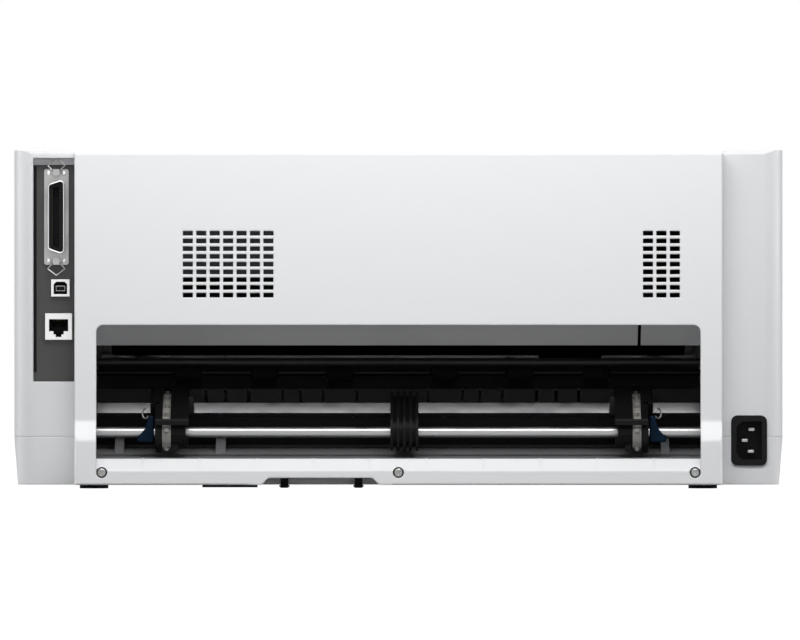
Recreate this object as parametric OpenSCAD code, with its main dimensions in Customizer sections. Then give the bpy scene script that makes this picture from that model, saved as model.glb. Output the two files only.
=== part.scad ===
// Wide-carriage dot matrix printer, seen here from the side where the paper goes in.
// Origin: centre of the footprint, on the floor. +X is the user's right, -Y the front, +Z up.

/* [Case] */
// Overall width across the side walls
case_w = 482; // [478:1:502]
// Overall depth, from the front wall to the rear cover's lower face
case_d = 370; // [366:1:376]
// Overall height, from the floor to the top face
case_h = 212; // [209:1:221]
// Height of the rubber feet
foot_h = 2.5; // [2:0.25:4]
// Height of the seam between the lower and the upper case
seam_z = 32.5; // [31:0.5:34]
// How far each side wall leans in by the bottom edge of the lower case
side_taper = 2.5; // [0:0.5:4]
// Thickness of the moulded walls
wall = 2.5; // [2:0.25:3]
// Radius of the four upright corners
corner_r = 12; // [8:1:14]
// Height of the upright front wall
front_h = 100; // [96:1:104]
// Depth of the sloping front, from the front wall to the level top
slope_run = 85; // [80:1:90]
// How far the side wings lie forward of the rear cover's lower face
wing_recess = 20; // [18:0.5:22]

/* [Rear cover] */
// Width of each side wing beside the rear cover
wing_w = 38.4; // [37:0.2:40]
// How far the cover's foot steps out from its upper face
flare = 5; // [3:0.5:6]
// Height at which the foot starts to step out
flare_z = 42.5; // [40:0.5:46]
// Height of the sloping step
flare_h = 12.5; // [8:0.5:14]
// Width of the rear cover beside the paper window
jamb_w = 13.6; // [12.6:0.2:16]
// Height of the window's lower edge
window_z = 18.75; // [18:0.25:20]
// Height of the window
window_h = 83.75; // [80:0.25:86]
// Radius of the window's upper corners
window_r = 4.5; // [3:0.5:6]
// Drop of the sloping sill in front of the window
sill_drop = 7.5; // [5:0.5:9]
// Spacing of the faint ribs over the sill
sill_rib_pitch = 35.5; // [34:0.5:38]
// Distance of the outer cover screws from the cover's sides
screw_inset = 17.1; // [15.6:0.1:18.6]
// Height of the cover screws
screw_z = 10.3; // [10:0.1:10.8]
// Diameter of the cover screws' shanks
screw_d = 3; // [2.5:0.1:3.2]
// Width of one vent slot
slot_w = 6.3; // [5.5:0.1:6.8]
// Height of one vent slot
slot_h = 2.9; // [2.4:0.1:3.2]
// Spacing of the vent slots across
slot_pitch_x = 8.4; // [8:0.1:9]
// Spacing of the vent slots upwards
slot_pitch_z = 4.84; // [4.4:0.02:5.2]

/* [Paper feed] */
// Distance from the rear of the case to the tractors' guide shaft
guide_inset = 27; // [26:0.5:28]
// Height of the tractors' guide shaft
guide_z = 35.3; // [34.5:0.1:36.5]
// Diameter of the guide shaft
guide_d = 6.6; // [5.8:0.2:7]
// How far the drive shaft lies in front of the guide shaft
drive_run = 30; // [29:0.5:31]
// How far the drive shaft lies above the guide shaft
drive_rise = 13.6; // [13:0.2:14.6]
// Width across the flats of the square drive shaft
drive_w = 7; // [6.2:0.2:7.2]
// How far the right belt lies inside the window's side
belt_right_in = 43.7; // [41:0.1:50]
// How far the left belt lies inside the window's side
belt_left_in = 39.5; // [39:0.1:48]
// Width of a pin-feed belt
belt_w = 5.4; // [5:0.2:6]
// Radius of the belt's bend, to the middle of its thickness
belt_r = 9.7; // [9.5:0.1:9.9]
// Thickness of the belt
belt_t = 1.2; // [0.8:0.1:1.4]
// Spacing of the paper pins: half an inch
pin_pitch = 12.7; // [12.6:0.05:12.8]
// Diameter of the paper pins
pin_d = 3.4; // [3:0.1:3.6]
// Width of the middle paper support
support_w = 17.5; // [15:0.5:20]
// Place of the middle paper support
support_x = -3.75; // [-8:0.25:4]

/* [Printing] */
// Radius of the platen's rubber
platen_r = 17; // [16:0.5:17.5]
// How far the platen lies in front of the tractors' drive shaft
platen_run = 108; // [107:0.5:109]
// Height of the platen
platen_z = 100; // [99:0.5:102]
// Radius of the platen's steel journals
journal_r = 5; // [4:0.25:6]
// Tooth module of the paper feed gears
gear_m = 1.5; // [1.4:0.05:1.55]
// Width of the gears
gear_w = 6; // [4:0.5:6.5]
// Radius of the carriage's guide rod
rod_r = 5; // [4:0.25:6]
// Place of the carriage at rest
carriage_x = -110; // [-125:1:-90]
// Width of the carriage
carriage_w = 40; // [36:1:42]
// Radius of the carriage belt's pulleys, to the belt's inner face
pulley_r = 8; // [7:0.25:9]

/* [Covers] */
// Width of the case's top beside the covers
lid_margin = 41; // [40:0.5:43]
// Gap between a cover and the case round it
lid_gap = 0.6; // [0.4:0.1:0.8]
// Thickness of the hinged covers
lid_t = 2.5; // [2:0.25:3]
// Radius of the covers' rolled hinge edges
roll_r = 4; // [3.5:0.25:4.5]
// Radius of the hinge trunnions
trunnion_r = 2; // [1.5:0.25:2.5]
// Width of the paper exit slot between the top cover and the sheet guide
exit_w = 8; // [6:0.5:10]
// Width of the front cover
front_w = 336; // [320:2:344]
// Height of the front cover
front_cover_h = 46; // [40:1:48]
// Rise of each edge guide above the sheet guide's tray
edge_h = 4.6; // [3:0.2:4.8]

/* [Connectors] */
// Width of the recessed connector bay
bay_w = 26; // [25:0.25:27]
// Height of the connector bay
bay_h = 140; // [138:1:141]
// Distance from the top of the case to the top of the bay
bay_drop = 5; // [4.5:0.25:6]
// Distance from the wing's face to the connector plate
bay_depth = 8; // [7:0.5:9]
// Length of the parallel port's flange
port_h = 60; // [58:0.5:61]
// Width of the parallel port's flange
port_w = 15.4; // [15:0.2:16]
// Radius of the spring wire of the bails
bail_r = 0.6; // [0.5:0.05:0.7]
// Width of the power inlet's bezel
inlet_w = 22.5; // [22:0.25:24]
// Height of the power inlet's bezel
inlet_h = 31.5; // [31:0.25:33]

/* [Hidden] */
$fn = 32;

fit = 0.06;        // radial clearance of a running fit
gap = 0.3;         // clearance between moving faces
half_w = case_w / 2;
front_y = -case_d / 2;
rear_y = case_d / 2;
wing_y = rear_y - wing_recess;
face_y = rear_y - flare;
cover_y0 = wing_y + gap;      // the rear cover's front edge, at the seam with the wings
cover_t = 3;                  // wall of the rear cover
cover_top = case_h - 0.5;
cover_half = half_w - wing_w;
window_half = cover_half - jamb_w;
screw_x = cover_half - screw_inset;
boss_r = screw_z - foot_h - 1;  // bosses of the lower case that take the cover screws
boss_l = 12;
notch_x0 = 11.9;              // notch in the rear cover's lower edge
notch_x1 = 85.6;
notch_z = foot_h + 4.4;
window_top = window_z + window_h;
sill_z = window_z - sill_drop;
floor_z = foot_h + 3;         // top of the lower case's floor
plate_z = floor_z + 2.5;      // underside of the steel base plate, on its posts
plate_t = 1.5;
deck_z = plate_z + plate_t;
frame_x = window_half + 1.75;  // inner face of the steel side frames
frame_t = 1.5;
case_gap_half = frame_x + frame_t + 4;  // half of the case's open back behind the rear cover

slope_rise = case_h - front_h;
slope_len = norm([slope_run, slope_rise]);
slope_deg = atan2(slope_rise, slope_run);
knee_r = 10;
brow_r = 20;

guide_y = rear_y - guide_inset;
drive_y = guide_y - drive_run;
drive_z = guide_z + drive_rise;
platen_y = drive_y - platen_run;
reach = norm([drive_run, drive_rise]);
incline = atan2(drive_rise, drive_run);
belt_in = belt_r - belt_t / 2;
belt_out = belt_r + belt_t / 2;
pin_count = round((2 * reach + 2 * PI * belt_r) / pin_pitch);

// Gear train: pinion to platen gear, and pinion to an idler that spans the way to the tractor gear
platen_teeth = 42;
pinion_teeth = 14;
tractor_teeth = 24;
gear_x1 = -(frame_x + frame_t + 2);
gear_x0 = gear_x1 - gear_w;
platen_at = [platen_y, platen_z];
tractor_at = [drive_y, drive_z];
belt_right_x = window_half - belt_right_in;
belt_left_x = window_half - belt_left_in;
pinion_at = platen_at + gear_m * (platen_teeth + pinion_teeth) / 2 * [cos(-15), sin(-15)];
idler_spare = 2;   // teeth beyond the least that reach from gear to gear
idler_teeth = ceil(norm(tractor_at - pinion_at) / gear_m - (pinion_teeth + tractor_teeth) / 2 + idler_spare);
idler_at = meet(pinion_at, gear_m * (pinion_teeth + idler_teeth) / 2,
    tractor_at, gear_m * (idler_teeth + tractor_teeth) / 2);
platen_phase = 0;
pinion_phase = mesh_phase(platen_at, pinion_at, platen_teeth, pinion_teeth, platen_phase);
idler_phase = mesh_phase(pinion_at, idler_at, pinion_teeth, idler_teeth, pinion_phase);
tractor_phase = mesh_phase(idler_at, tractor_at, idler_teeth, tractor_teeth, idler_phase);
motor_r = 20;
motor_l = 30;
motor_post = 27;   // distance of the feed motor's two posts from its axis

// Carriage
rod_y = platen_y - 55;
rod_z = platen_z - 20;
rail_z = platen_z - 38;
belt_y = rod_y - 35;
rail_y0 = belt_y - 26;        // front edge of the carriage's rail
pulley_x = frame_x - 22.75;
rail_t = 2;
loop_t = 1;
loop_z0 = rail_z + 4;
loop_h = 5;
head_tip_y = platen_y - platen_r - 1.4;
ribbon_y = head_tip_y + 0.3;
ribbon_t = 0.3;
cartridge_y0 = rod_y - 83;
cartridge_y1 = rod_y - 43;
cartridge_z0 = platen_z - 5;
cartridge_h = 18;

// Hinged covers: the top cover rolls in front of the platen, the sheet guide behind the paper exit
lid_half = half_w - lid_margin;
lid_y = platen_y - 20;
tray_y = lid_y + exit_w + 2 * roll_r;
roll_z = case_h - roll_r;
tray_rear = wing_y - 13;
lid_front = front_y + 13;
front_z0 = 44;
front_roll = 3;
front_half = front_w / 2;

// Connectors, on the right wing
bay_x0 = cover_half + 0.25;
bay_x1 = bay_x0 + bay_w;
bay_z1 = case_h - bay_drop;
bay_z0 = bay_z1 - bay_h;
bay_y = wing_y - bay_depth;   // rear face of the connector plate
bay_plate_t = 1.5;
port_x = bay_x0 + 11.6;
port_z = bay_z1 - 6.8 - port_h / 2;
ear_z = port_h / 2 - 2.1;     // bail pivots, from the port's centre
ear_y = bay_y + 4.5;
usb_x = port_x - 2.5;
usb_z = port_z - port_h / 2 - 14.5;
lan_x = port_x - 1.4;
lan_z = usb_z - 24.2;
board_x = bay_x1 - 6;
inlet_x = -(half_w - 21.3);
inlet_z = foot_h + 27.6;

// ---------- shared shapes ----------

// A drawing of Y across and Z up, given a thickness along X
module slab_x(x0, x1) translate([x0, 0, 0]) rotate([90, 0, 90]) linear_extrude(x1 - x0) children();

// A drawing of X across and Z up, given a thickness along Y
module slab_y(y0, y1) translate([0, y1, 0]) rotate([90, 0, 0]) linear_extrude(y1 - y0) children();

module slab_z(z0, z1) translate([0, 0, z0]) linear_extrude(z1 - z0) children();

module block(lo, hi) translate(lo) cube(hi - lo);

module rod_x(x0, x1, y, z, r) translate([x0, y, z]) rotate([0, 90, 0]) cylinder(h = x1 - x0, r = r);

module rod_along_y(y0, y1, x, z, r) translate([x, y0, z]) rotate([-90, 0, 0]) cylinder(h = y1 - y0, r = r);

module rod_up(z0, z1, x, y, r) translate([x, y, z0]) cylinder(h = z1 - z0, r = r);

module soft_rect(x0, y0, x1, y1, r) {
    translate([x0 + r, y0]) square([x1 - x0 - 2 * r, y1 - y0]);
    translate([x0, y0 + r]) square([x1 - x0, y1 - y0 - 2 * r]);
    for (x = [x0 + r, x1 - r], y = [y0 + r, y1 - r]) translate([x, y]) circle(r);
}

function unit(v) = v / norm(v);

// One corner of an outline, turned into an arc of n steps
function corner(p0, p1, p2, r, n) = let(
    a = unit(p0 - p1), b = unit(p2 - p1), half = acos(a * b) / 2,
    c = p1 + unit(a + b) * r / sin(half),
    s = p1 + a * r / tan(half) - c, e = p1 + b * r / tan(half) - c,
    a0 = atan2(s[1], s[0]), d = (atan2(e[1], e[0]) - a0 + 540) % 360 - 180)
    [for (i = [0:n]) c + r * [cos(a0 + d * i / n), sin(a0 + d * i / n)]];

// An outline whose corners are rounded by the radii given, with 0 for a sharp one
function rounded(pts, radii, n = 5) = let(k = len(pts))
    [for (i = [0:k - 1]) each radii[i] > 0
        ? corner(pts[(i + k - 1) % k], pts[i], pts[(i + 1) % k], radii[i], n) : [pts[i]]];

function arc(c, r, a0, a1, n) = [for (i = [0:n]) let(a = a0 + (a1 - a0) * i / n) c + r * [cos(a), sin(a)]];

// A run of two half circles of radius r, from the drive shaft to the guide shaft
function stadium(r, l = reach, n = 14) = concat(arc([0, 0], r, 90, 270, n), arc([l, 0], r, -90, 90, n));

// Outline of a strip of half width w along a bent line, mitred at its bends
function side(a, b) = let(v = unit(b - a)) [-v[1], v[0]];
function mitre(p, i) = let(n = len(p) - 1, u = side(p[max(i, 1) - 1], p[max(i, 1)]),
    v = side(p[min(i, n - 1)], p[min(i, n - 1) + 1])) (u + v) / (1 + u * v);
function strip(p, w) = concat([for (i = [0:len(p) - 1]) p[i] + w * mitre(p, i)],
    [for (i = [len(p) - 1:-1:0]) p[i] - w * mitre(p, i)]);

// Where two circles meet, on the side that is left of the way from a to b
function meet(a, ra, b, rb) = let(d = norm(b - a), u = (b - a) / d,
    along = (ra * ra - rb * rb + d * d) / (2 * d), off = sqrt(ra * ra - along * along))
    a + u * along + [-u[1], u[0]] * off;

// Angle of a tooth of gear b that puts one of its gaps on a tooth of gear a
function mesh_phase(a, b, ta, tb, phase) = let(way = atan2(b[1] - a[1], b[0] - a[0]))
    way + 180 + 180 / tb - (phase - way) * ta / tb;

// A spur gear's outline: straight-flanked teeth with a little backlash
function gear_outline(teeth, phase) = let(r = gear_m * teeth / 2, step = 360 / teeth,
    root = r - 1.2 * gear_m, tip = r + 0.9 * gear_m)
    [for (i = [0:teeth - 1]) let(a = phase + i * step) each [
        root * [cos(a - 0.32 * step), sin(a - 0.32 * step)],
        tip * [cos(a - 0.11 * step), sin(a - 0.11 * step)],
        tip * [cos(a + 0.11 * step), sin(a + 0.11 * step)],
        root * [cos(a + 0.32 * step), sin(a + 0.32 * step)]]];

// A gear with a bore, a recessed web and lightening holes
module gear(at, teeth, phase, bore, holes = 0) {
    rim = gear_m * teeth / 2 - 2.6 * gear_m;
    difference() {
        slab_x(gear_x0, gear_x1) translate(at) polygon(gear_outline(teeth, phase));
        rod_x(gear_x0 - 1, gear_x1 + 1, at[0], at[1], bore);
        if (holes > 0) {
            difference() {
                rod_x(gear_x0 - 1, gear_x0 + 1.5, at[0], at[1], rim);
                rod_x(gear_x0 - 2, gear_x0 + 2, at[0], at[1], bore + 4);
            }
            for (i = [0:holes - 1]) let(a = 360 * i / holes, r = (rim + bore + 4) / 2)
                rod_x(gear_x0, gear_x1 + 1, at[0] + r * cos(a), at[1] + r * sin(a), (rim - bore - 4) * 0.36);
        }
    }
}

// Side outline of the upper case, moved in by t
function case_profile(t, z0) = rounded([
    [front_y + t, z0],
    [front_y + t, front_h + t * (slope_rise - slope_len) / slope_run],
    [front_y + slope_run + t * (slope_len - slope_run) / slope_rise, case_h - t],
    [wing_y - t, case_h - t],
    [wing_y - t, z0]], [0, knee_r - t * 0.4, brow_r - t * 0.4, max(3 - t, 0), 0], 8);

module case_plan(t) soft_rect(-half_w + t, front_y + t, half_w - t, wing_y - t, corner_r - t);

// Puts a child on the sloping front: x across, y up the slope from the knee, z out of it
module on_slope(x, s, out = 0) translate([x, front_y, front_h]) rotate([slope_deg, 0, 0])
    translate([0, s, out]) children();

// Puts a child in the tractors' frame: drive shaft at the origin, y towards the guide shaft
module at_drive() translate([0, drive_y, drive_z]) rotate([-incline, 0, 0]) children();

module each_foot()
    for (x = [-1, 1], y = [front_y + 26, wing_y - 14]) translate([x * (half_w - 50), y]) children();

// ---------- case ----------

module lower_case() color([0.9, 0.91, 0.92]) {
    lean = half_w - side_taper;
    difference() {
        union() {
            difference() {
                intersection() {
                    slab_z(foot_h, seam_z) case_plan(0);
                    slab_y(front_y - 1, wing_y + 1) polygon([[-lean, foot_h], [lean, foot_h],
                        [half_w, seam_z], [-half_w, seam_z]]);
                }
                slab_z(floor_z, seam_z + 1) case_plan(wall + side_taper);
                block([-case_gap_half, wing_y - 8, sill_z + 4], [case_gap_half, wing_y + 1, seam_z + 1]);
            }
            for (x = [-screw_x, 0, screw_x])
                rod_along_y(wing_y - boss_l, wing_y, x, screw_z, boss_r);
            for (x = [-150, -50, 50, 150], y = [front_y + 40, -20, wing_y - 45])
                rod_up(foot_h + 1, plate_z, x, y, 4);
            for (x = [-1, 1], y = [-60, 20, 100])   // ribs that carry the side walls
                block([min(x * (half_w - 9), x * (half_w - 4)), y, foot_h + 1],
                    [max(x * (half_w - 9), x * (half_w - 4)), y + 2, seam_z - 6]);
        }
        for (x = [-screw_x, 0, screw_x])
            rod_along_y(wing_y - boss_l + 3, wing_y + 1, x, screw_z, screw_d / 2 + 0.02);
        inlet_hole();
        for (x = [-80:10:80], y = [front_y + 70])
            block([x - 2, y, 0], [x + 2, y + 34, floor_z + 1]);
    }
}

module inlet_hole() slab_y(wing_y - 8, wing_y + 1)
    soft_rect(inlet_x - inlet_w / 2 + 1.4, inlet_z - inlet_h / 2 + 1.4,
        inlet_x + inlet_w / 2 - 1.4, inlet_z + inlet_h / 2 - 1.4, 2.5);

cheek = 6;         // thickness of the blocks that hold the covers' trunnions
module upper_case() color([0.93, 0.94, 0.95]) {
    for (s = [-1, 1]) {     // ledges under the top cover's sides
        block([min(s * (lid_half - 4), s * (lid_half + cheek)), lid_y - 70, case_h - lid_t - 6],
            [max(s * (lid_half - 4), s * (lid_half + cheek)), lid_y - 9, case_h - lid_t - 3.3]);
        block([min(s * (lid_half + lid_gap), s * (lid_half + cheek)), lid_y - 70, case_h - lid_t - 6],
            [max(s * (lid_half + lid_gap), s * (lid_half + cheek)), lid_y - 9, case_h - 1]);
    }
    difference() {
        union() {
            difference() {
                intersection() {
                    slab_z(seam_z, case_h) case_plan(0);
                    slab_x(-half_w, half_w) polygon(case_profile(0, seam_z));
                }
                intersection() {
                    slab_z(seam_z - 1, case_h) case_plan(wall);
                    slab_x(-half_w + wall, half_w - wall) polygon(case_profile(wall, seam_z - 1));
                }
            }
            for (s = [-1, 1])     // cheeks that hold the covers' trunnions
                block([min(s * (lid_half + lid_gap), s * (lid_half + cheek)), lid_y - 9, roll_z - 8],
                    [max(s * (lid_half + lid_gap), s * (lid_half + cheek)), tray_y + 8, case_h - 1]);
            bay_shroud();
            for (s = [-1, 1])
                block([min(s * (front_half + 0.4), s * (front_half + 5)), front_y + 1, front_z0 - 3],
                    [max(s * (front_half + 0.4), s * (front_half + 5)), front_y + 8, front_z0 + 10]);
            lever_cheeks();
        }
        // top opening for the covers
        slab_x(-lid_half - lid_gap, lid_half + lid_gap) polygon([[lid_front - lid_gap, front_h - 10],
            [lid_front - lid_gap, case_h + 1], [tray_rear + lid_gap, case_h + 1],
            [tray_rear + lid_gap, case_h - wall - 1], [lid_y + 1, case_h - wall - 1],
            [lid_y + 1, case_h - 9], [front_y + slope_run + 10, case_h - 9]]);
        for (y = [lid_y, tray_y])
            rod_x(-lid_half - cheek - 1, lid_half + cheek + 1, y, roll_z, trunnion_r + fit);
        // open back behind the rear cover
        block([-case_gap_half, wing_y - wall - 1, seam_z - 1], [case_gap_half, wing_y + 1, case_h - 7]);
        slab_y(bay_y - 3, wing_y + 1) translate([bay_x0, bay_z0]) square([bay_w, bay_h]);
        inlet_hole();
        // front paper opening
        block([-front_half - 0.4, front_y - 1, front_z0 - gap], [front_half + 0.4, front_y + wall + 1,
            front_z0 + front_cover_h + 0.4]);
        rod_x(-front_half - 4, front_half + 4, front_y + front_roll, front_z0 + front_roll,
            trunnion_r * 0.6 + fit);
        // buttons on the slope, and the panel's shallow field
        on_slope(panel_x, 34) block([-13, -22, -0.6], [13, 70, 5]);
        for (s = button_steps) on_slope(panel_x, s)
            block([-button_w / 2 - gap, -button_h / 2 - gap, -8],
                [button_w / 2 + gap, button_h / 2 + gap, 5]);
        rod_along_y(front_y - 1, front_y + wall + 1, panel_x, power_z, power_r + gap);
        // lever slot, side louvres
        block([lever_x - 5, lever_y - 16, case_h - wall - 1], [lever_x + 5, lever_y + 16, case_h + 1]);
        for (s = [-1, 1], i = [0:9])
            block([s * half_w - 4, -40 + 9 * i, 60], [s * half_w + 4, -35.5 + 9 * i, 84]);
    }
}

lever_x = -(half_w - 20);
lever_y = platen_y + 40;
lever_z = case_h - 26;
lever_r = 2;
module lever_cheeks() for (s = [-1, 1])
    difference() {
        block([lever_x + s * 5.5 - 1, lever_y - 5, lever_z - 5],
            [lever_x + s * 5.5 + 1, lever_y + 5, case_h - wall / 2]);
        rod_x(lever_x - 8, lever_x + 8, lever_y, lever_z, lever_r + fit);
    }

// Paper release lever, with a ridged grip in the slot of the top face
module release_lever() color([0.2, 0.35, 0.55]) {
    rod_x(lever_x - 6.4, lever_x + 6.4, lever_y, lever_z, lever_r);
    slab_x(lever_x - 4.2, lever_x + 4.2) translate([lever_y, lever_z]) polygon(rounded([
        [-4, -4], [4, -4], [3, 12], [5, 21], [4.6, 25.2], [2.2, 25.2],
        [1.6, 24.4], [0.4, 24.4], [-0.2, 25.2], [-4.6, 25.2], [-5, 21], [-3, 12]],
        [3, 3, 4, 2, 1, 0, 0, 0, 0, 1, 2, 4], 3));
}

// Walls of the recess that the connectors sit in
module bay_shroud() {
    t = 1.6;
    difference() {
        block([bay_x0 - t, bay_y, bay_z0 - t], [bay_x1 + t, wing_y - wall / 2, bay_z1 + t]);
        block([bay_x0, bay_y - 1, bay_z0], [bay_x1, wing_y + 1, bay_z1]);
    }
}

panel_x = half_w - 21;
button_w = 15;
button_h = 9;
button_steps = [26, 48];
power_z = 66;
power_r = 6;

module rear_profile(t) polygon(rounded([
    [cover_y0, foot_h + t], [rear_y - t, foot_h + t], [rear_y - t, flare_z - flare_h],
    [face_y - t, flare_z], [face_y - t, cover_top - t], [cover_y0, cover_top - t]],
    [0, 1, 6, 6, max(2.5 - t, 0), 0], 4));

module vent(x, columns) {
    rows = 9;
    z0 = window_top + 38;
    for (i = [0:columns - 1], k = [0:rows - 1]) let(
        sx = x + (i - (columns - 1) / 2) * slot_pitch_x, sz = z0 + (k - (rows - 1) / 2) * slot_pitch_z)
        block([sx - slot_w / 2, face_y - cover_t - 1, sz - slot_h / 2],
            [sx + slot_w / 2, face_y + 1, sz + slot_h / 2]);
}

module rear_cover() color([0.95, 0.96, 0.97]) {
    ribs = 10;
    inner = [for (i = [0:ribs - 1]) (i - (ribs - 1) / 2) * sill_rib_pitch];
    difference() {
        union() {
            difference() {
                intersection() {
                    slab_x(-cover_half, cover_half) rear_profile(0);
                    slab_z(0, case_h) soft_rect(-cover_half, cover_y0 - 10, cover_half, rear_y, 2);
                }
                slab_x(-cover_half + cover_t, cover_half - cover_t) polygon([
                    [cover_y0 - 1, foot_h + cover_t], [rear_y - cover_t, foot_h + cover_t],
                    [rear_y - cover_t, flare_z - flare_h - 1], [face_y - cover_t, flare_z - 1],
                    [face_y - cover_t, cover_top - cover_t], [cover_y0 - 1, cover_top - cover_t]]);
            }
            // sill: a sloping apron under the window
            slab_x(-cover_half + 1, cover_half - 1) polygon(rounded([
                [cover_y0, window_z - 2.5], [cover_y0, window_z], [rear_y - 12, window_z],
                [rear_y, sill_z], [rear_y, sill_z - 3], [rear_y - cover_t, sill_z - 3],
                [rear_y - 13, window_z - 2.5]], [0, 0, 4, 3, 0, 0, 0], 4));
            for (x = [-screw_x, 0, screw_x]) rod_along_y(cover_y0, rear_y - 0.05, x, screw_z, 4.6);
            block([notch_x0 - 8, cover_y0, foot_h], [notch_x1 + 8, rear_y - 0.05, notch_z + 2.6]);
        }
        slab_y(face_y - cover_t - 1, rear_y + 1) polygon(rounded([
            [-window_half, window_z], [window_half, window_z], [window_half, window_top],
            [-window_half, window_top]], [0, 0, window_r, window_r], 6));
        slab_x(-window_half, window_half) polygon([[rear_y - 12, window_z], [rear_y + 1, sill_z - 0.5],
            [rear_y + 1, window_top - 20], [rear_y - 12, window_top - 20]]);
        vent(cover_half - 96.1, 7);
        vent(-(cover_half - 38.1), 3);
        for (x = [-screw_x, 0, screw_x]) {
            rod_along_y(cover_y0 - 1, rear_y + 1, x, screw_z, screw_d / 2 + 0.1);
            rod_along_y(rear_y - 2, rear_y + 1, x, screw_z, 3.45);
        }
        slab_y(cover_y0 - 1, rear_y + 1) polygon([[notch_x0 - 1, foot_h - 1], [notch_x0 + 4.4, notch_z],
            [notch_x1 - 4.4, notch_z], [notch_x1 + 1, foot_h - 1]]);
    }
    // ribs over the sill
    for (x = inner) slab_x(x - 0.5, x + 0.5) polygon([[rear_y - 13, window_z - 1],
        [rear_y - 13, window_z + 0.25], [rear_y - 11.8, window_z + 0.25],
        [rear_y - 0.2, sill_z + 0.35], [rear_y - 0.2, sill_z - 1]]);
}

module rear_cover_screws() color([0.75, 0.75, 0.76]) for (x = [-screw_x, 0, screw_x]) {
    rod_along_y(wing_y - 8, rear_y - 2, x, screw_z, screw_d / 2);
    difference() {
        rod_along_y(rear_y - 2, rear_y - 0.5, x, screw_z, 2.75);
        for (a = [0, 90]) translate([x, rear_y - 0.5, screw_z]) rotate([0, 45 + a, 0])
            cube([3.4, 1.6, 0.8], center = true);
    }
}

// Rubber feet, the two pegs in the notch of the rear cover and the pad beside it
module feet() color([0.15, 0.15, 0.16]) {
    each_foot() cylinder(h = foot_h, r = 9);
    for (x = [notch_x0 + 13.1, notch_x1 - 14.3]) {
        rod_up(0.6, notch_z, x, rear_y - 8, 2.5);
        rod_up(1.2, 2.4, x, rear_y - 8, 3.2);
    }
    block([notch_x1 + 2.5, rear_y - 12, foot_h - 1.5], [notch_x1 + 37, rear_y - 3, foot_h]);
}

// ---------- frame ----------

module base_plate() color([0.6, 0.61, 0.62]) difference() {
    block([-frame_x - frame_t, front_y + 30, plate_z], [frame_x + frame_t, wing_y - 16, deck_z]);
    for (x = [-80:10:80]) block([x - 2, front_y + 66, plate_z - 1], [x + 2, front_y + 108, deck_z + 1]);
    for (x = [-150, 150], y = [20, 78]) rod_up(plate_z - 1, deck_z + 1, x, platen_y + y, 11);
}

// Side plates of the frame, stepped at the rear to pass over the screw bosses
frame_low = platen_z + 22;
frame_high = platen_z + 50;
frame_outline = rounded([[front_y + 60, deck_z], [wing_y - boss_l - 1, deck_z],
    [wing_y - boss_l - 1, screw_z + boss_r + 1], [wing_y - 3, screw_z + boss_r + 1],
    [wing_y - 3, window_top + 6], [platen_y + 100, window_top + 9], [platen_y + 52, frame_high],
    [platen_y - 70, frame_high],     [platen_y - 92, frame_low], [front_y + 60, frame_low]], [0, 0, 3, 3, 4, 8, 10, 8, 10, 6], 4);
frame_holes = [[-80, -60, 18], [50, -62, 16], [-30, -56, 14], [50, 28, 8], [-45, 28, 10]];

module side_frames() color([0.62, 0.63, 0.65]) {
    difference() {
        for (x = [-frame_x - frame_t, frame_x]) slab_x(x, x + frame_t) polygon(frame_outline);
        shaft_holes();
        for (c = frame_holes) rod_x(-frame_x - 5, frame_x + 5, platen_y + c[0], platen_z + c[1], c[2]);
    }
    // shelves for the ribbon cartridge
    for (s = [-1, 1]) block([min(s * frame_x, s * (frame_x - 14)), cartridge_y0, cartridge_z0 - 1.5],
        [max(s * frame_x, s * (frame_x - 14)), cartridge_y1, cartridge_z0]);
    // stud of the idler gear
    rod_x(gear_x0 - 1, -frame_x - frame_t, idler_at[0], idler_at[1], 4);
}

module shaft_holes() {
    x = frame_x + frame_t + 1;
    rod_x(-x, x, platen_y, platen_z, journal_r + fit);
    rod_x(-x, x, drive_y, drive_z, 3 + fit);
    rod_x(-x, x, guide_y, guide_z, guide_d / 2);
    rod_x(-x, x, rod_y, rod_z, rod_r);
    rod_x(-x, x, roller_y, roller_z, 2 + fit);
}

// ---------- connectors ----------

module connector_plate() color([0.27, 0.27, 0.28]) difference() {
    block([bay_x0 - 1.6, bay_y - bay_plate_t, bay_z0 - 1.6], [bay_x1 + 1.6, bay_y, bay_z1 + 1.6]);
    slab_y(bay_y - 5, bay_y + 5) port_outline(0.2);
    block([usb_x - 6, bay_y - 5, usb_z - 5.5], [usb_x + 6, bay_y + 5, usb_z + 5.5]);
    block([lan_x - 8.6, bay_y - 5, lan_z - 8.4], [lan_x + 8.6, bay_y + 5, lan_z + 8.4]);
}

// D-shaped shell of the 36-way parallel port, its long side towards the middle of the case
module port_outline(t) translate([port_x, port_z]) polygon(rounded([
    [-5.1 - t, -23.7 - t], [5.2 + t, -20.4 - t], [5.2 + t, 20.4 + t], [-5.1 - t, 23.7 + t]],
    [2.6 + t, 2.6 + t, 2.6 + t, 2.6 + t], 4));

module parallel_port() color([0.75, 0.75, 0.74]) {
    difference() {
        union() {
            slab_y(bay_y, bay_y + 1.6) soft_rect(port_x - port_w / 2, port_z - port_h / 2,
                port_x + port_w / 2, port_z + port_h / 2, 1.5);
            slab_y(bay_y, bay_y + 8) port_outline(0);
            slab_y(bay_y - 14, bay_y) port_outline(0);
        }
        slab_y(bay_y - 12, bay_y + 9) port_outline(-0.7);
    }
    for (s = [-1, 1]) difference() {
        block([port_x - 2, bay_y + 1.6, port_z + s * ear_z - 2],
            [port_x + 2, ear_y + 2, port_z + s * ear_z + 2]);
        rod_x(port_x - 3, port_x + 3, ear_y, port_z + s * ear_z, bail_r + fit);
    }
}

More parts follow.
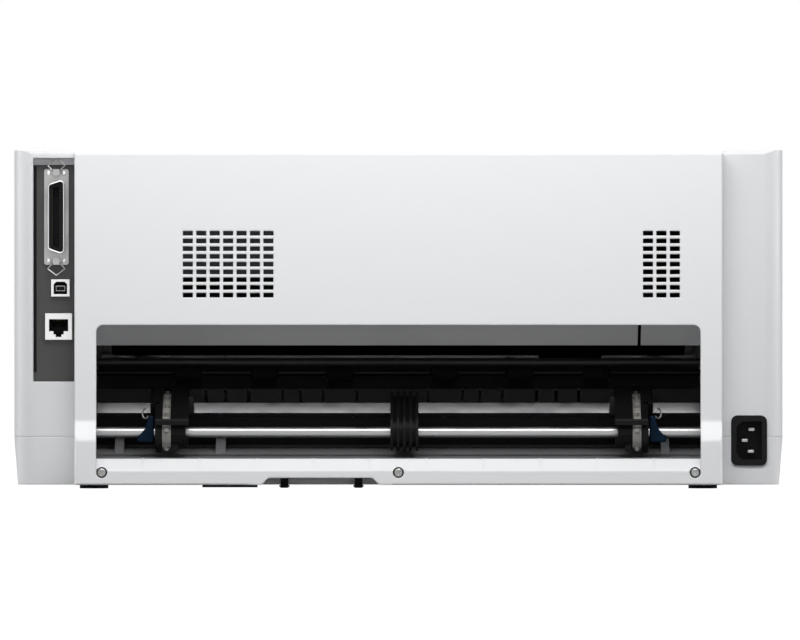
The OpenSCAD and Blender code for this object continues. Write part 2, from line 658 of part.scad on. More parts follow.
module parallel_insert() color([0.08, 0.08, 0.09]) difference() {
    slab_y(bay_y - 12, bay_y + 6.5) port_outline(-1);
    slab_y(bay_y - 2, bay_y + 7) translate([port_x, port_z]) polygon(rounded([[-2.6, -19.5], [2.6, -18.5],
        [2.6, 18.5], [-2.6, 19.5]], [1, 1, 1, 1], 3));
}

// Spring wire bail: from its pivots out to the shoulders and in to the point
bail_line = [[-3.3, -bail_r], [-3.3, 1.5], [-5.4, 4.6], [0, 7.6], [5.4, 4.6], [3.3, 1.5], [3.3, -bail_r]];
module bail(s) color([0.72, 0.72, 0.72]) {
    translate([port_x, ear_y, port_z + s * ear_z]) slab_y(-0.8 * bail_r, 0.8 * bail_r)
        polygon(strip([for (p = bail_line) [p[0], s * p[1]]], bail_r));
    for (w = [-1, 1])
        rod_x(port_x + w * 2.2 - 1.2, port_x + w * 2.2 + 1.2, ear_y, port_z + s * ear_z, bail_r);
}
module bail_upper() bail(1);
module bail_lower() bail(-1);

module usb_port() color([0.86, 0.86, 0.85]) translate([usb_x, 0, usb_z]) difference() {
    union() {
        slab_y(bay_y, bay_y + 2.5) square([11.6, 10.7], center = true);
        slab_y(bay_y - 14, bay_y) square([11.6, 10.7], center = true);
    }
    difference() {
        slab_y(bay_y - 9, bay_y + 3) polygon([[-4.2, -3.9], [4.2, -3.9], [4.2, 2.3],
            [2.6, 3.9], [-2.6, 3.9], [-4.2, 2.3]]);
        slab_y(bay_y - 10, bay_y + 1.5) translate([0, -0.3]) square([5.6, 3.2], center = true);
    }
}

module lan_port() color([0.85, 0.85, 0.84]) translate([lan_x, 0, lan_z]) difference() {
    slab_y(bay_y - 16, bay_y + 3) square([16.9, 16.5], center = true);
    slab_y(bay_y - 10, bay_y + 4) polygon([[-6, -3], [-3.2, -3], [-3.2, -5], [-1.8, -5],
        [-1.8, -6.6], [1.8, -6.6], [1.8, -5], [3.2, -5], [3.2, -3], [6, -3], [6, 4.6], [-6, 4.6]]);
}

module power_inlet() color([0.07, 0.07, 0.08]) {
    rear = wing_y + 1.2;
    depth = 13;
    difference() {
        union() {
            slab_y(wing_y, rear) soft_rect(inlet_x - inlet_w / 2, inlet_z - inlet_h / 2,
                inlet_x + inlet_w / 2, inlet_z + inlet_h / 2, 4);
            slab_y(wing_y - 22, wing_y) soft_rect(inlet_x - inlet_w / 2 + 1.6, inlet_z - inlet_h / 2 + 1.6,
                inlet_x + inlet_w / 2 - 1.6, inlet_z + inlet_h / 2 - 1.6, 2.4);
        }
        slab_y(rear - depth, rear + 1) translate([inlet_x, inlet_z]) inlet_recess();
    }
}

module inlet_recess() polygon([[-7.85, -12], [4.6, -12], [7.85, -8.4], [7.85, 8.4], [4.6, 12], [-7.85, 12]]);

module inlet_pins() color([0.8, 0.8, 0.78]) for (p = [[-1.7, 6.9], [2.7, 0], [-1.2, -6.9]])
    translate([inlet_x + p[0], 0, inlet_z + p[1]]) block([-2, wing_y - 11.8, -1], [2, wing_y - 2.5, 1]);

module main_board() color([0.1, 0.35, 0.2]) {
    y0 = wing_y - 118;
    block([board_x, y0, bay_z0 + 14], [board_x + 1.6, wing_y - 12, bay_z1 - 3]);
    for (c = [[13, 83, 28, 5], [53, 53, 18, 4], [15, 41, 16, 9]])     // chips: y, z, side and height
        block([board_x - c[3], y0 + c[0], bay_z0 + c[1]], [board_x, y0 + c[0] + c[2], bay_z0 + c[1] + c[2]]);
    for (y = [9, 91]) rod_x(board_x + 1.6, half_w - wall, y0 + y, bay_z1 - 10, 3);
}

// Open power supply: board, transformer, three capacitors and a finned cooler, all under the rail
supply_side = 20;   // its place from the side frame and from the front wall
supply_front = 45;
module power_supply() color([0.7, 0.71, 0.72]) {
    x0 = -frame_x + supply_side;
    y0 = front_y + supply_front;
    board_z = deck_z + 5;
    block([x0, y0, deck_z], [x0 + 130, y0 + 84, board_z]);
    block([x0 + 12, y0 + 14, board_z], [x0 + 50, y0 + 62, rail_z - 20]);
    for (i = [0:2]) rod_up(board_z, board_z + 25, x0 + 66, y0 + 16 + 24 * i, 9);
    for (i = [0:6]) block([x0 + 84 + 6 * i, y0 + 8, board_z], [x0 + 86 + 6 * i, y0 + 76, rail_z - 22]);
}

// ---------- paper path ----------

roller_y = drive_y - 36;
roller_z = drive_z + 23.5;
roller_r = 6.5;
roller_w = 15;
roller_mid = 4.1;      // the rollers stand in pairs to both sides of it

slit_w = 2;        // slit of the upper guide
module upper_guide() color([0.48, 0.48, 0.5]) difference() {
    slab_x(-frame_x, frame_x) polygon([[face_y - 4, window_top + 1.5], [wing_y - 12, window_top - 12.8],
        [wing_y - 12.8, window_top - 11.6], [face_y - 4, window_top + 3]]);
    block([38 - window_half - slit_w / 2, wing_y - 20, window_top - 30],
        [38 - window_half + slit_w / 2, wing_y + 20, window_top + 10]);
}

// Dark sloping guide under the tractors, with three ribs and a leg on the base plate
apron_y = drive_y - 28.5;       // its upper edge
apron_z = window_z + 6.6;
apron_t = 1.5;
// places and widths of its ribs
apron_ribs = [[window_half - 13.3, 5.7], [belt_right_x - 33.4, 6.2], [21.1 - window_half, 5.2]];
module lower_guide() color([0.29, 0.3, 0.31]) {
    slab_x(-frame_x, frame_x) polygon([
        [wing_y, window_z - apron_t], [wing_y, window_z], [apron_y, apron_z],
        [apron_y - apron_t, apron_z - 0.6], [apron_y - apron_t, deck_z], [apron_y, deck_z], [apron_y, apron_z - apron_t]]);
    for (r = apron_ribs) slab_x(r[0] - r[1] / 2, r[0] + r[1] / 2) polygon([[apron_y, apron_z - 0.8],
        [apron_y + 2.4, apron_z + 6.3], [apron_y + 13, apron_z + 6.3], [apron_y + 38, apron_z - 4.6]]);
}

// Guide plate between tractors and platen: a steep slotted band at the rear, a wall below it, and the
// plate that rises under the rollers to the platen. A round bar ties the side plates above it
guide_t = 1.4;
guide_slot_w = 2;
guide_slot_x = [121.3, 109, 94.3, 72.8, 61.7, 47.6, 26.2, -18.8, -40.3, -51.6, -65.6, -87.2, -99.5, -113.8];
guide_tail = [platen_y - 12, platen_z - platen_r - 2.5];
guide_bend = [platen_y + 22, platen_z - platen_r - 4.5];
guide_line = [[apron_y - apron_t - 1.2, apron_z - 3], [apron_y - apron_t - 1.2, apron_z + 1.6],
    [drive_y - 18.3, drive_z + 2.2], [drive_y - 16.7, drive_z + 3.8], [drive_y - 20.3, drive_z + 12.4],
    [drive_y - 32, drive_z + 13.5], guide_bend, guide_tail];
module slotted_guide() color([0.24, 0.24, 0.25]) {
    difference() {
        slab_x(-frame_x, frame_x) polygon(strip(guide_line, guide_t / 2));
        for (x = guide_slot_x)
            block([x - guide_slot_w / 2, drive_y - 26, drive_z + 4.7],
                [x + guide_slot_w / 2, drive_y - 10, drive_z + 20]);
    }
    rod_x(-frame_x, frame_x, drive_y - 19, window_top - 23.4, 2.5);
}

module feed_rollers() color([0.1, 0.1, 0.11]) {
    rod_x(-frame_x - frame_t, frame_x + frame_t, roller_y, roller_z, 2);
    for (s = [-1, 1], d = [32.9, 80.5, 129]) let(x = roller_mid + s * d)
        rod_x(x - roller_w / 2, x + roller_w / 2, roller_y, roller_z, roller_r);
}

module platen() color([0.12, 0.12, 0.13]) {
    rod_x(-frame_x + 8, frame_x - 8, platen_y, platen_z, platen_r);
    rod_x(-frame_x - frame_t - 1, frame_x + frame_t + 4, platen_y, platen_z, journal_r);
    rod_x(gear_x0 - 1, -frame_x - frame_t - 1, platen_y, platen_z, journal_r - 1);
}

module platen_gear() color([0.85, 0.85, 0.8]) gear(platen_at, platen_teeth, platen_phase, journal_r - 1, 6);

module motor_pinion() color([0.8, 0.7, 0.4]) {
    difference() {
        slab_x(gear_x0, gear_x1) translate(pinion_at) polygon(gear_outline(pinion_teeth, pinion_phase));
        rod_x(gear_x0 - 1, gear_x1 + 1, pinion_at[0], pinion_at[1], 2.5);
    }
    rod_x(gear_x0 - 6, gear_x1, pinion_at[0], pinion_at[1], 2.5);
}

module feed_motor() color([0.3, 0.3, 0.32]) {
    x1 = gear_x0 - 2;
    difference() {
        union() {
            rod_x(x1 - motor_l, x1 - 1.5, pinion_at[0], pinion_at[1], motor_r);
            slab_x(x1 - 1.5, x1) translate(pinion_at) soft_rect(-18, -motor_post - 4, 18, motor_post + 4, 4);
            for (s = [-1, 1]) rod_x(x1, -frame_x - frame_t, pinion_at[0], pinion_at[1] + s * motor_post, 2.5);
        }
        rod_x(x1 - 5, x1 + 1, pinion_at[0], pinion_at[1], 2.5 + fit);
    }
}

module idler_gear() color([0.85, 0.85, 0.8]) gear(idler_at, idler_teeth, idler_phase, 4 + fit, 5);

drive_turn = 24.2;     // how far the square shaft is turned from level
module square_x(x0, x1, w) at_drive() translate([(x0 + x1) / 2, 0, 0]) rotate([drive_turn + incline, 0, 0])
    cube([x1 - x0, w, w], center = true);

// The square shaft turns the sprockets; its gear is pressed on outside the side frame
module tractor_drive_shaft() color([0.6, 0.61, 0.62]) {
    gear(tractor_at, tractor_teeth, tractor_phase, 2.9, 4);
    square_x(-frame_x + 1, frame_x - 1, drive_w);
    rod_x(-frame_x - frame_t - 1, frame_x + frame_t + 2, drive_y, drive_z, 3);
    rod_x(gear_x0 - 1, -frame_x, drive_y, drive_z, 3);
}

module tractor_guide_shaft() color([0.8, 0.8, 0.81])
    rod_x(-frame_x - frame_t - 1, frame_x + frame_t + 1, guide_y, guide_z, guide_d / 2);

// ---------- tractors: x = 0 at the belt's middle, +x towards the nearer side frame ----------

core_in = 12;      // how far the body reaches inwards of the belt's middle
plate_in = belt_w / 2 + 0.5;
plate_out = plate_in + 4;
drum_r = belt_in - gap;

module left_tractor() mirror([1, 0, 0]) translate([belt_left_x, 0, 0]) children();
module right_tractor() translate([belt_right_x, 0, 0]) children();

module tractor_frame() color([0.13, 0.13, 0.14]) at_drive() difference() {
    union() {
        slab_x(-core_in, -plate_in) polygon(stadium(belt_in - 0.6));
        slab_x(-plate_in, plate_in) polygon(stadium(belt_in - 0.4));
        slab_x(plate_in, plate_out) polygon(stadium(belt_out));
        // foot under the guide shaft, and ears for the cover's hinge
        slab_x(plate_in, plate_out) polygon(rounded([[reach - 8, -4], [reach + 8, -4],
            [reach + 6, -belt_out - 1.5], [reach - 4, -belt_out - 1.5]], [0, 0, 1, 1], 3));
        for (y = ear_ys) difference() {
            union() {
                block([plate_out - 2, y, 2], [plate_out + 3.2, y + 3, belt_out - 0.5]);
                block([plate_out + 0.1, y, 2], [plate_out + 3.2, y + 3, hinge_n + 1.6]);
            }
            translate([plate_out + 1.6, y - 1, hinge_n]) rotate([-90, 0, 0]) cylinder(h = 5, r = 0.8 + fit);
        }
    }
    rod_x(-plate_in - 0.3, plate_in, 0, 0, belt_in + 0.2);
    rod_x(-core_in - 1, plate_out + 1, 0, 0, hub_r + fit);
    rod_x(-core_in - 1, plate_out + 1, reach, 0, guide_d / 2 + fit);
}
hub_r = 6.3;
hinge_n = belt_out + 1.2;
ear_ys = [-8, 15];      // near faces of the two ears that hold the cover's hinge

module tractor_sprocket() color([0.2, 0.2, 0.22]) difference() {
    union() {
        rod_x(-belt_w / 2, belt_w / 2, drive_y, drive_z, drum_r);
        rod_x(-core_in, plate_out, drive_y, drive_z, hub_r);
    }
    square_x(-core_in - 1, plate_out + 1, drive_w + 0.16);
    for (i = [0:4]) translate([0, drive_y, drive_z]) rotate([72 * i, 0, 0])
        translate([0, 0, drum_r - 1.4]) cylinder(h = 3, r = 1.8);
}

// A place along the belt's loop: [y, z, direction of its outer normal]
function loop_place(s) = let(half = PI * belt_r)
    s < reach ? [s, belt_out, 90] :
    s < reach + half ? let(a = 90 - (s - reach) / belt_r * 180 / PI)
        [reach + belt_out * cos(a), belt_out * sin(a), a] :
    s < 2 * reach + half ? [2 * reach + half - s, -belt_out, -90] :
    let(a = -90 - (s - 2 * reach - half) / belt_r * 180 / PI) [belt_out * cos(a), belt_out * sin(a), a];

module tractor_belt() color([0.72, 0.7, 0.66]) at_drive() {
    difference() {
        slab_x(-belt_w / 2, belt_w / 2) polygon(stadium(belt_out));
        slab_x(-belt_w, belt_w) polygon(stadium(belt_in));
    }
    for (i = [0:pin_count - 1]) let(p = loop_place((i + 0.4) * (2 * reach + 2 * PI * belt_r) / pin_count))
        translate([0, p[0], p[1]]) rotate([p[2] - 90, 0, 0]) translate([0, 0, -0.3]) {
            cylinder(h = 1.3, r = pin_d / 2, $fn = 10);
            translate([0, 0, 1.2]) cylinder(h = 1.2, r = pin_d / 2 - 0.5, $fn = 10);
        }
}

module tractor_cover() color([0.09, 0.09, 0.1]) at_drive() difference() {
    n0 = belt_out + 0.6;
    union() {
        difference() {
            slab_x(-core_in - 2, plate_out - 0.2) polygon(rounded([
                [-9, n0 - 1.5], [-10.5, n0 - 1.5], [-10.5, n0 + 2], [reach + 9, n0 + 2],
                [reach + 10, n0 - 1.5], [reach + 8.6, n0 - 1.5], [reach + 8, n0], [-9, n0]],
                [0, 0, 2, 2, 0, 0, 0.5, 0.5], 3));
            block([-pin_d / 2 - 0.8, -9, n0 - 5], [pin_d / 2 + 0.8, reach + 8, n0 + 5]);
            for (y = ear_ys) block([plate_out - 2.6, y - 0.4, n0 - 2], [plate_out + 5, y + 3.4, n0 + 4]);
            // chamfered inner corner
            translate([-core_in - 2, -10.5, 0]) rotate([0, 0, 45]) cube([8, 8, 60], center = true);
        }
        translate([plate_out + 1.6, -4.6, hinge_n]) rotate([-90, 0, 0]) cylinder(h = 19.2, r = 1.5);
        block([plate_out - 1.5, -4.6, hinge_n - 0.2], [plate_out + 1.6, 14.6, hinge_n + 1.4]);
        translate([plate_out + 1.6, -7.6, hinge_n]) rotate([-90, 0, 0]) cylinder(h = 25.2, r = 0.8);
    }
    block([-core_in - 8, -20, -5], [-core_in - 2, -8, 30]);
}

lever_in = plate_out + 0.5;
module lock_lever() color([0.1, 0.2, 0.36]) translate([0, 0, guide_z]) difference() {
    slab_y(guide_y - 4, guide_y + 4) polygon(rounded([[lever_in, 10.5], [lever_in + 4, 10.5],
        [lever_in + 6, 2], [lever_in + 11, -4], [lever_in + 11, -6.5], [lever_in, -6.5]],
        [0.8, 2, 3, 1.5, 0.8, 0.8], 3));
    rod_x(lever_in - 1, lever_in + 12, guide_y, 0, guide_d / 2 + fit);
}

module tractor_left() left_tractor() tractor_frame();
module tractor_right() right_tractor() tractor_frame();
module tractor_belt_left() left_tractor() tractor_belt();
module tractor_belt_right() right_tractor() tractor_belt();
module tractor_sprocket_left() left_tractor() tractor_sprocket();
module tractor_sprocket_right() right_tractor() tractor_sprocket();
module tractor_cover_left() left_tractor() tractor_cover();
module tractor_cover_right() right_tractor() tractor_cover();
module tractor_lever_left() left_tractor() lock_lever();
module tractor_lever_right() right_tractor() lock_lever();

module paper_support() color([0.08, 0.08, 0.09]) at_drive() difference() {
    ribs = 5;
    rib_w = 1.6;
    union() {
        slab_x(support_x - support_w / 2, support_x + support_w / 2) polygon(stadium(belt_out - 1.5));
        for (i = [0:ribs - 1]) let(x = support_x - support_w / 2 + i * (support_w - rib_w) / (ribs - 1))
            slab_x(x, x + rib_w) polygon(stadium(belt_out + 1.5));
    }
    rod_x(support_x - support_w, support_x + support_w, 0, 0, norm([drive_w, drive_w]) / 2 + 0.2);
    rod_x(support_x - support_w, support_x + support_w, reach, 0, guide_d / 2 + fit);
}

// ---------- carriage ----------

module carriage_rod() color([0.8, 0.8, 0.82])
    rod_x(-frame_x - frame_t - 1, frame_x + frame_t + 1, rod_y, rod_z, rod_r);

module carriage_rail() color([0.6, 0.61, 0.63]) {
    difference() {
        union() {
            block([-frame_x, rail_y0, rail_z - rail_t], [frame_x, rod_y - 8, rail_z]);
            block([-frame_x, rail_y0, rail_z - 14], [frame_x, rail_y0 + rail_t, rail_z]);
        }
        rod_up(rail_z - 5, rail_z + 1, pulley_x, belt_y, 3);
    }
    rod_up(rail_z, loop_z0 + loop_h + 3, -pulley_x, belt_y, 2.5);
}

module carriage_motor() color([0.25, 0.25, 0.27]) difference() {
    union() {
        rod_up(rail_z - 36, rail_z - rail_t - 2, pulley_x, belt_y, 18);
        block([pulley_x - 20, belt_y - 20, rail_z - rail_t - 2],
            [pulley_x + 20, belt_y + 20, rail_z - rail_t]);
    }
    rod_up(rail_z - 12, rail_z, pulley_x, belt_y, 2 + fit);
}

module pulley(x) {
    rod_up(loop_z0 - 1.2, loop_z0 - 0.2, x, belt_y, pulley_r + 2);
    rod_up(loop_z0 - 0.3, loop_z0 + loop_h + 0.3, x, belt_y, pulley_r - gap);
    rod_up(loop_z0 + loop_h + 0.2, loop_z0 + loop_h + 1.2, x, belt_y, pulley_r + 2);
}
module drive_pulley() color([0.75, 0.75, 0.72]) {
    pulley(pulley_x);
    rod_up(rail_z - 11, loop_z0, pulley_x, belt_y, 2);
}
module idler_pulley() color([0.75, 0.75, 0.72]) difference() {
    pulley(-pulley_x);
    rod_up(rail_z - 1, loop_z0 + loop_h + 4, -pulley_x, belt_y, 2.5 + fit);
}

module carriage_belt() color([0.1, 0.1, 0.1]) difference() {
    slab_z(loop_z0, loop_z0 + loop_h) translate([-pulley_x, belt_y])
        polygon(stadium(pulley_r + loop_t, 2 * pulley_x));
    slab_z(loop_z0 - 1, loop_z0 + loop_h + 1) translate([-pulley_x, belt_y])
        polygon(stadium(pulley_r, 2 * pulley_x));
}

module carriage() color([0.16, 0.16, 0.17]) difference() {
    x0 = carriage_x - carriage_w / 2;
    x1 = carriage_x + carriage_w / 2;
    union() {
        rod_x(x0, x1, rod_y, rod_z, rod_r + 4);
        // body behind the belt, from the rod's bearing up to the head's seat
        slab_x(x0, x1) polygon(rounded([[rod_y - 8, rod_z - 2], [rod_y + 4, rod_z + 2],
            [rod_y + 14, rod_z + 7], [rod_y + 14, rod_z + 10], [rod_y - 26, rod_z + 10],
            [rod_y - 32, rod_z + 2], [rod_y - 32, loop_z0 + loop_h + 2], [rod_y - 24, loop_z0 + loop_h + 2],
            [rod_y - 18, rod_z - 2]], [0, 0, 2, 1, 3, 0, 0, 0, 2], 3));
        // foot that runs on the rail, and the clamp behind the belt
        slab_x(carriage_x - 12, carriage_x + 12) polygon([[rod_y - 24.8, rail_z + gap],
            [rod_y - 18, rail_z + gap], [rod_y - 18, rod_z], [rod_y - 24.8, rod_z]]);
    }
    rod_x(x0 - 1, x1 + 1, rod_y, rod_z, rod_r + fit);
}

module print_head() color([0.35, 0.35, 0.37]) {
    z0 = rod_z + 10;
    y0 = rod_y - 22;
    difference() {
        block([carriage_x - 15, y0, z0], [carriage_x + 15, rod_y + 12, z0 + 26]);
        for (i = [0:4]) block([carriage_x - 16, y0 - 1, z0 + 4 + 4.6 * i],
            [carriage_x + 16, rod_y + 2, z0 + 6.2 + 4.6 * i]);
    }
    // core between the cooling fins, then the tapered nose that holds the needles
    block([carriage_x - 9, y0 + 4, z0 + 1], [carriage_x + 9, rod_y + 8, z0 + 25]);
    slab_x(carriage_x - 5, carriage_x + 5) polygon([[rod_y + 11, z0 + 2], [rod_y + 12, z0 + 2],
        [head_tip_y, z0 + 5], [head_tip_y, z0 + 16], [rod_y + 12, z0 + 22], [rod_y + 11, z0 + 22]]);
}

arm_x = frame_x - 20;
knob_x = 34 - frame_x;
module ribbon_cartridge() color([0.1, 0.1, 0.11]) {
    difference() {
        union() {
            slab_z(cartridge_z0, cartridge_z0 + cartridge_h) soft_rect(-frame_x + 2, cartridge_y0,
                frame_x - 2, cartridge_y1, 6);
            for (s = [-1, 1]) block([min(s * (arm_x - 11), s * arm_x), cartridge_y1 - 4, cartridge_z0 + 3],
                [max(s * (arm_x - 11), s * arm_x), ribbon_y, cartridge_z0 + 15]);
        }
        rod_up(cartridge_z0 + cartridge_h - 8, cartridge_z0 + cartridge_h + 1, knob_x,
            (cartridge_y0 + cartridge_y1) / 2, 2.5 + fit);
    }
    block([-arm_x, ribbon_y, cartridge_z0 + 3], [arm_x, ribbon_y + ribbon_t, cartridge_z0 + 14]);
}

module ribbon_knob() color([0.2, 0.35, 0.55]) let(x = knob_x, y = (cartridge_y0 + cartridge_y1) / 2,
    z = cartridge_z0 + cartridge_h) {
    rod_up(z - 7, z + 1, x, y, 2.5);
    difference() {
        rod_up(z + gap, z + 7, x, y, 9);
        for (i = [0:11]) rod_up(z - 1, z + 8, x + 9.8 * cos(30 * i), y + 9.8 * sin(30 * i), 1.5);
    }
}

// ---------- covers ----------

// A strip of the case's own outline, t thick, cut between two depths
module skin(t, y0, y1) difference() {
    intersection() {
        polygon(case_profile(0, seam_z));
        translate([y0, front_h - 20]) square([y1 - y0, case_h]);
    }
    polygon(case_profile(t, seam_z - 1));
}

lid_window = [42, 116];    // lower and upper edge of the lid's window, up the slope
lid_window_half = lid_half - 50;
module top_cover() color([0.3, 0.32, 0.35]) {
    difference() {
        union() {
            slab_x(-lid_half, lid_half) skin(lid_t, lid_front, lid_y - 0.5);
            for (x = [-lid_half, lid_half - 2])
                slab_x(x, x + 2) skin(lid_t + 3, lid_front + 3, lid_y - roll_r - 4);
            rod_x(-lid_half, lid_half, lid_y, roll_z, roll_r);
            rod_x(-lid_half - 4, lid_half + 4, lid_y, roll_z, trunnion_r);
        }
        on_slope(0, lid_window[0])
            block([-lid_window_half, 0, -10], [lid_window_half, lid_window[1] - lid_window[0], 5]);
        on_slope(0, 22) block([-30, -3, -1], [30, 3, 2]);     // finger notch
    }
}

module top_cover_window() color([0.2, 0.22, 0.25, 0.6]) on_slope(0, lid_window[0])
    block([-lid_window_half - 4, -4, -lid_t - 2],
        [lid_window_half + 4, lid_window[1] - lid_window[0] + 4, -lid_t - 0.02]);

tray_floor = case_h - edge_h - 0.4;    // top of the sheet guide's tray
tray_t = 2.4;
edge_slot_y = (tray_y + tray_rear) / 2;
module sheet_guide() color([0.9, 0.91, 0.92]) difference() {
    union() {
        block([-lid_half, tray_y, tray_floor - tray_t], [lid_half, tray_rear, case_h]);
        rod_x(-lid_half, lid_half, tray_y, roll_z, roll_r);
        rod_x(-lid_half - 4, lid_half + 4, tray_y, roll_z, trunnion_r);
    }
    block([-lid_half + 6, tray_y + roll_r + 1, tray_floor], [lid_half - 6, tray_rear - 5, case_h + 1]);
    block([-lid_half + 10, edge_slot_y - 2, tray_floor - 5], [lid_half - 10, edge_slot_y + 2, case_h]);
}

// An edge guide: a fence on a foot that runs in the tray's slot. s is 1 on the right
module edge_guide(x, s) color([0.8, 0.81, 0.83]) {
    block([x - 1.2, tray_y + roll_r + 4, tray_floor + gap / 2], [x + 1.2, tray_rear - 8, case_h - 0.4]);
    block([min(x, x + s * 20), edge_slot_y - 14, tray_floor + gap / 2],
        [max(x, x + s * 20), edge_slot_y + 14, tray_floor + 1.6]);
    block([x - 8, edge_slot_y - 2 + fit, tray_floor - tray_t - 1],
        [x + 8, edge_slot_y + 2 - fit, tray_floor + 1]);
    block([x - 8, edge_slot_y - 5, tray_floor - tray_t - 1.6],
        [x + 8, edge_slot_y + 5, tray_floor - tray_t - gap / 2]);
}
fence_x = lid_half - 90;
module edge_guide_left() edge_guide(-fence_x, -1);
module edge_guide_right() edge_guide(fence_x, 1);

module front_cover() color([0.93, 0.94, 0.95]) difference() {
    z = front_z0 + front_roll;
    union() {
        block([-front_half, front_y, z], [front_half, front_y + lid_t, front_z0 + front_cover_h]);
        rod_x(-front_half, front_half, front_y + front_roll, z, front_roll);
        rod_x(-front_half - 3, front_half + 3, front_y + front_roll, z, trunnion_r * 0.6);
    }
    block([-25, front_y - 1, front_z0 + front_cover_h - 4], [25, front_y + 1, front_z0 + front_cover_h + 1]);
}

module panel_button(s) color([0.35, 0.37, 0.4]) on_slope(panel_x, s) {
    block([-button_w / 2, -button_h / 2, -wall - 2], [button_w / 2, button_h / 2, 0.8]);
    block([-button_w / 2 - 2, -button_h / 2 - 2, -wall - 3.5],
        [button_w / 2 + 2, button_h / 2 + 2, -wall - gap]);
}
module feed_button() panel_button(button_steps[0]);
module load_button() panel_button(button_steps[1]);

module power_button() color([0.35, 0.37, 0.4]) {
    rod_along_y(front_y + 0.1, front_y + wall + 2, panel_x, power_z, power_r);
    rod_along_y(front_y + wall + gap, front_y + wall + 2.5, panel_x, power_z, power_r + 2);
}

lower_case();
upper_case();
rear_cover();
rear_cover_screws();
feet();
base_plate();
side_frames();
connector_plate();
parallel_port();
parallel_insert();
bail_upper();
bail_lower();
usb_port();
lan_port();
power_inlet();
inlet_pins();
main_board();
power_supply();
upper_guide();
lower_guide();
slotted_guide();
feed_rollers();
platen();
platen_gear();
feed_motor();
motor_pinion();
idler_gear();
tractor_drive_shaft();
tractor_guide_shaft();
tractor_left();
tractor_belt_left();
tractor_sprocket_left();
tractor_cover_left();
tractor_lever_left();
tractor_right();
tractor_belt_right();
tractor_sprocket_right();
tractor_cover_right();
tractor_lever_right();
paper_support();
carriage_rod();
carriage_rail();
carriage_motor();
drive_pulley();
idler_pulley();
carriage_belt();
carriage();
print_head();
ribbon_cartridge();
ribbon_knob();
top_cover();
top_cover_window();
sheet_guide();
edge_guide_left();
edge_guide_right();
front_cover();
release_lever();
feed_button();
load_button();
power_button();
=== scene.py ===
import math

import bmesh
import bpy
import numpy as np
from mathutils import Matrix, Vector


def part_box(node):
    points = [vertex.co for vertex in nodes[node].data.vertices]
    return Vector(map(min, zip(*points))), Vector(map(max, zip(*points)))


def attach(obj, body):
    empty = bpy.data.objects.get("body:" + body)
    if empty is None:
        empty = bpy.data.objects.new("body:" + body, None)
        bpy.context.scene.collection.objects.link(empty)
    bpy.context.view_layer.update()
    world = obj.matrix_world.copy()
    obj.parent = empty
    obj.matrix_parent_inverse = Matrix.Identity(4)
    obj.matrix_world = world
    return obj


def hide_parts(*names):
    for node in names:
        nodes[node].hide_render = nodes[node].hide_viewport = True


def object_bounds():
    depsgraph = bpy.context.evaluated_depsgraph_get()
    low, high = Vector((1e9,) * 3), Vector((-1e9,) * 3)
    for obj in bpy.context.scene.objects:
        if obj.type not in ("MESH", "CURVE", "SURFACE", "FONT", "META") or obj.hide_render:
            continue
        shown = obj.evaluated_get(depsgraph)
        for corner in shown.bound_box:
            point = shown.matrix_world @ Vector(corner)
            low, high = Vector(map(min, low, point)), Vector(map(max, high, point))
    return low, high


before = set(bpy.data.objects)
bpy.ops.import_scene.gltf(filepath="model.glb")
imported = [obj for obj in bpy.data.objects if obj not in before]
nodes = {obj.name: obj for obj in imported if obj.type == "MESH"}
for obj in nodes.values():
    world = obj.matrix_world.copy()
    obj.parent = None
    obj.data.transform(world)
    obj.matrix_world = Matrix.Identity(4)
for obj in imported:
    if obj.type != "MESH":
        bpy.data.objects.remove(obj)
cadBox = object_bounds()
mm = 0.001
print("frame loaded:", len(nodes), "nodes")

# Camera: far off and square to the rear, so that the view is nearly parallel
camera = {"at": (-0.001, 8.185, 0.1056), "lens": 576, "sensor": 36, "sight": 120}
cameraData = bpy.data.cameras.new("camera")
cameraData.lens, cameraData.sensor_width = camera["lens"], camera["sensor"]
cameraData.clip_end = camera["sight"]
cameraObject = bpy.data.objects.new("camera", cameraData)
cameraObject.location = camera["at"]
cameraObject.rotation_euler = (math.radians(90), 0, math.radians(180))
bpy.context.scene.collection.objects.link(cameraObject)
bpy.context.scene.camera = cameraObject
bpy.context.scene.view_settings.view_transform = "Standard"


def node(tree, kind, inputs=None, **settings):
    made = tree.nodes.new("ShaderNode" + kind)
    for key, value in settings.items():
        setattr(made, key, value)
    for key, value in (inputs or {}).items():
        if isinstance(value, bpy.types.NodeSocket):
            tree.links.new(value, made.inputs[key])
        else:
            made.inputs[key].default_value = value
    return made


def emptyTree(owner):
    owner.use_nodes = True
    owner.node_tree.nodes.clear()
    return owner.node_tree


def seenDirectly(tree, mirrored=1.0):
    # 1 for rays that show the background, straight or through glass, and less for mirrored ones
    path = node(tree, "LightPath")
    glossy = node(tree, "Math", {0: path.outputs["Is Glossy Ray"], 1: mirrored}, operation="MULTIPLY")
    either = node(tree, "Math", {0: path.outputs["Is Camera Ray"], 1: glossy.outputs[0]}, operation="MAXIMUM")
    return node(tree, "Math", {0: either.outputs[0], 1: path.outputs["Is Transmission Ray"]},
                operation="MAXIMUM").outputs[0]


light = {"ambient": 0.22, "backdrop": 1.0, "mirrored": 0.45, "aim": (0, 0, 0.1),
         "floorTone": 0.1, "floorGlow": 1.0, "floorHalf": 60.0, "floorGap": 0.0002,
         "lamps": [("lampKey", (0, 0.72, 0.76), (0.9, 0.35), 7.6),
                   ("lampFill", (0, 3.0, 0.5), (3.0, 1.5), 8.0),
                   ("lampSideA", (1.6, 0.12, 0.25), (0.9, 0.9), 12.0),
                   ("lampSideB", (-1.6, 0.12, 0.25), (0.9, 0.9), 12.0),
                   ("lampTop", (0, -0.5, 1.9), (1.6, 1.4), 2.0),
                   ("lampFront", (0.3, -1.9, 1.2), (1.6, 1.2), 13.0)]}


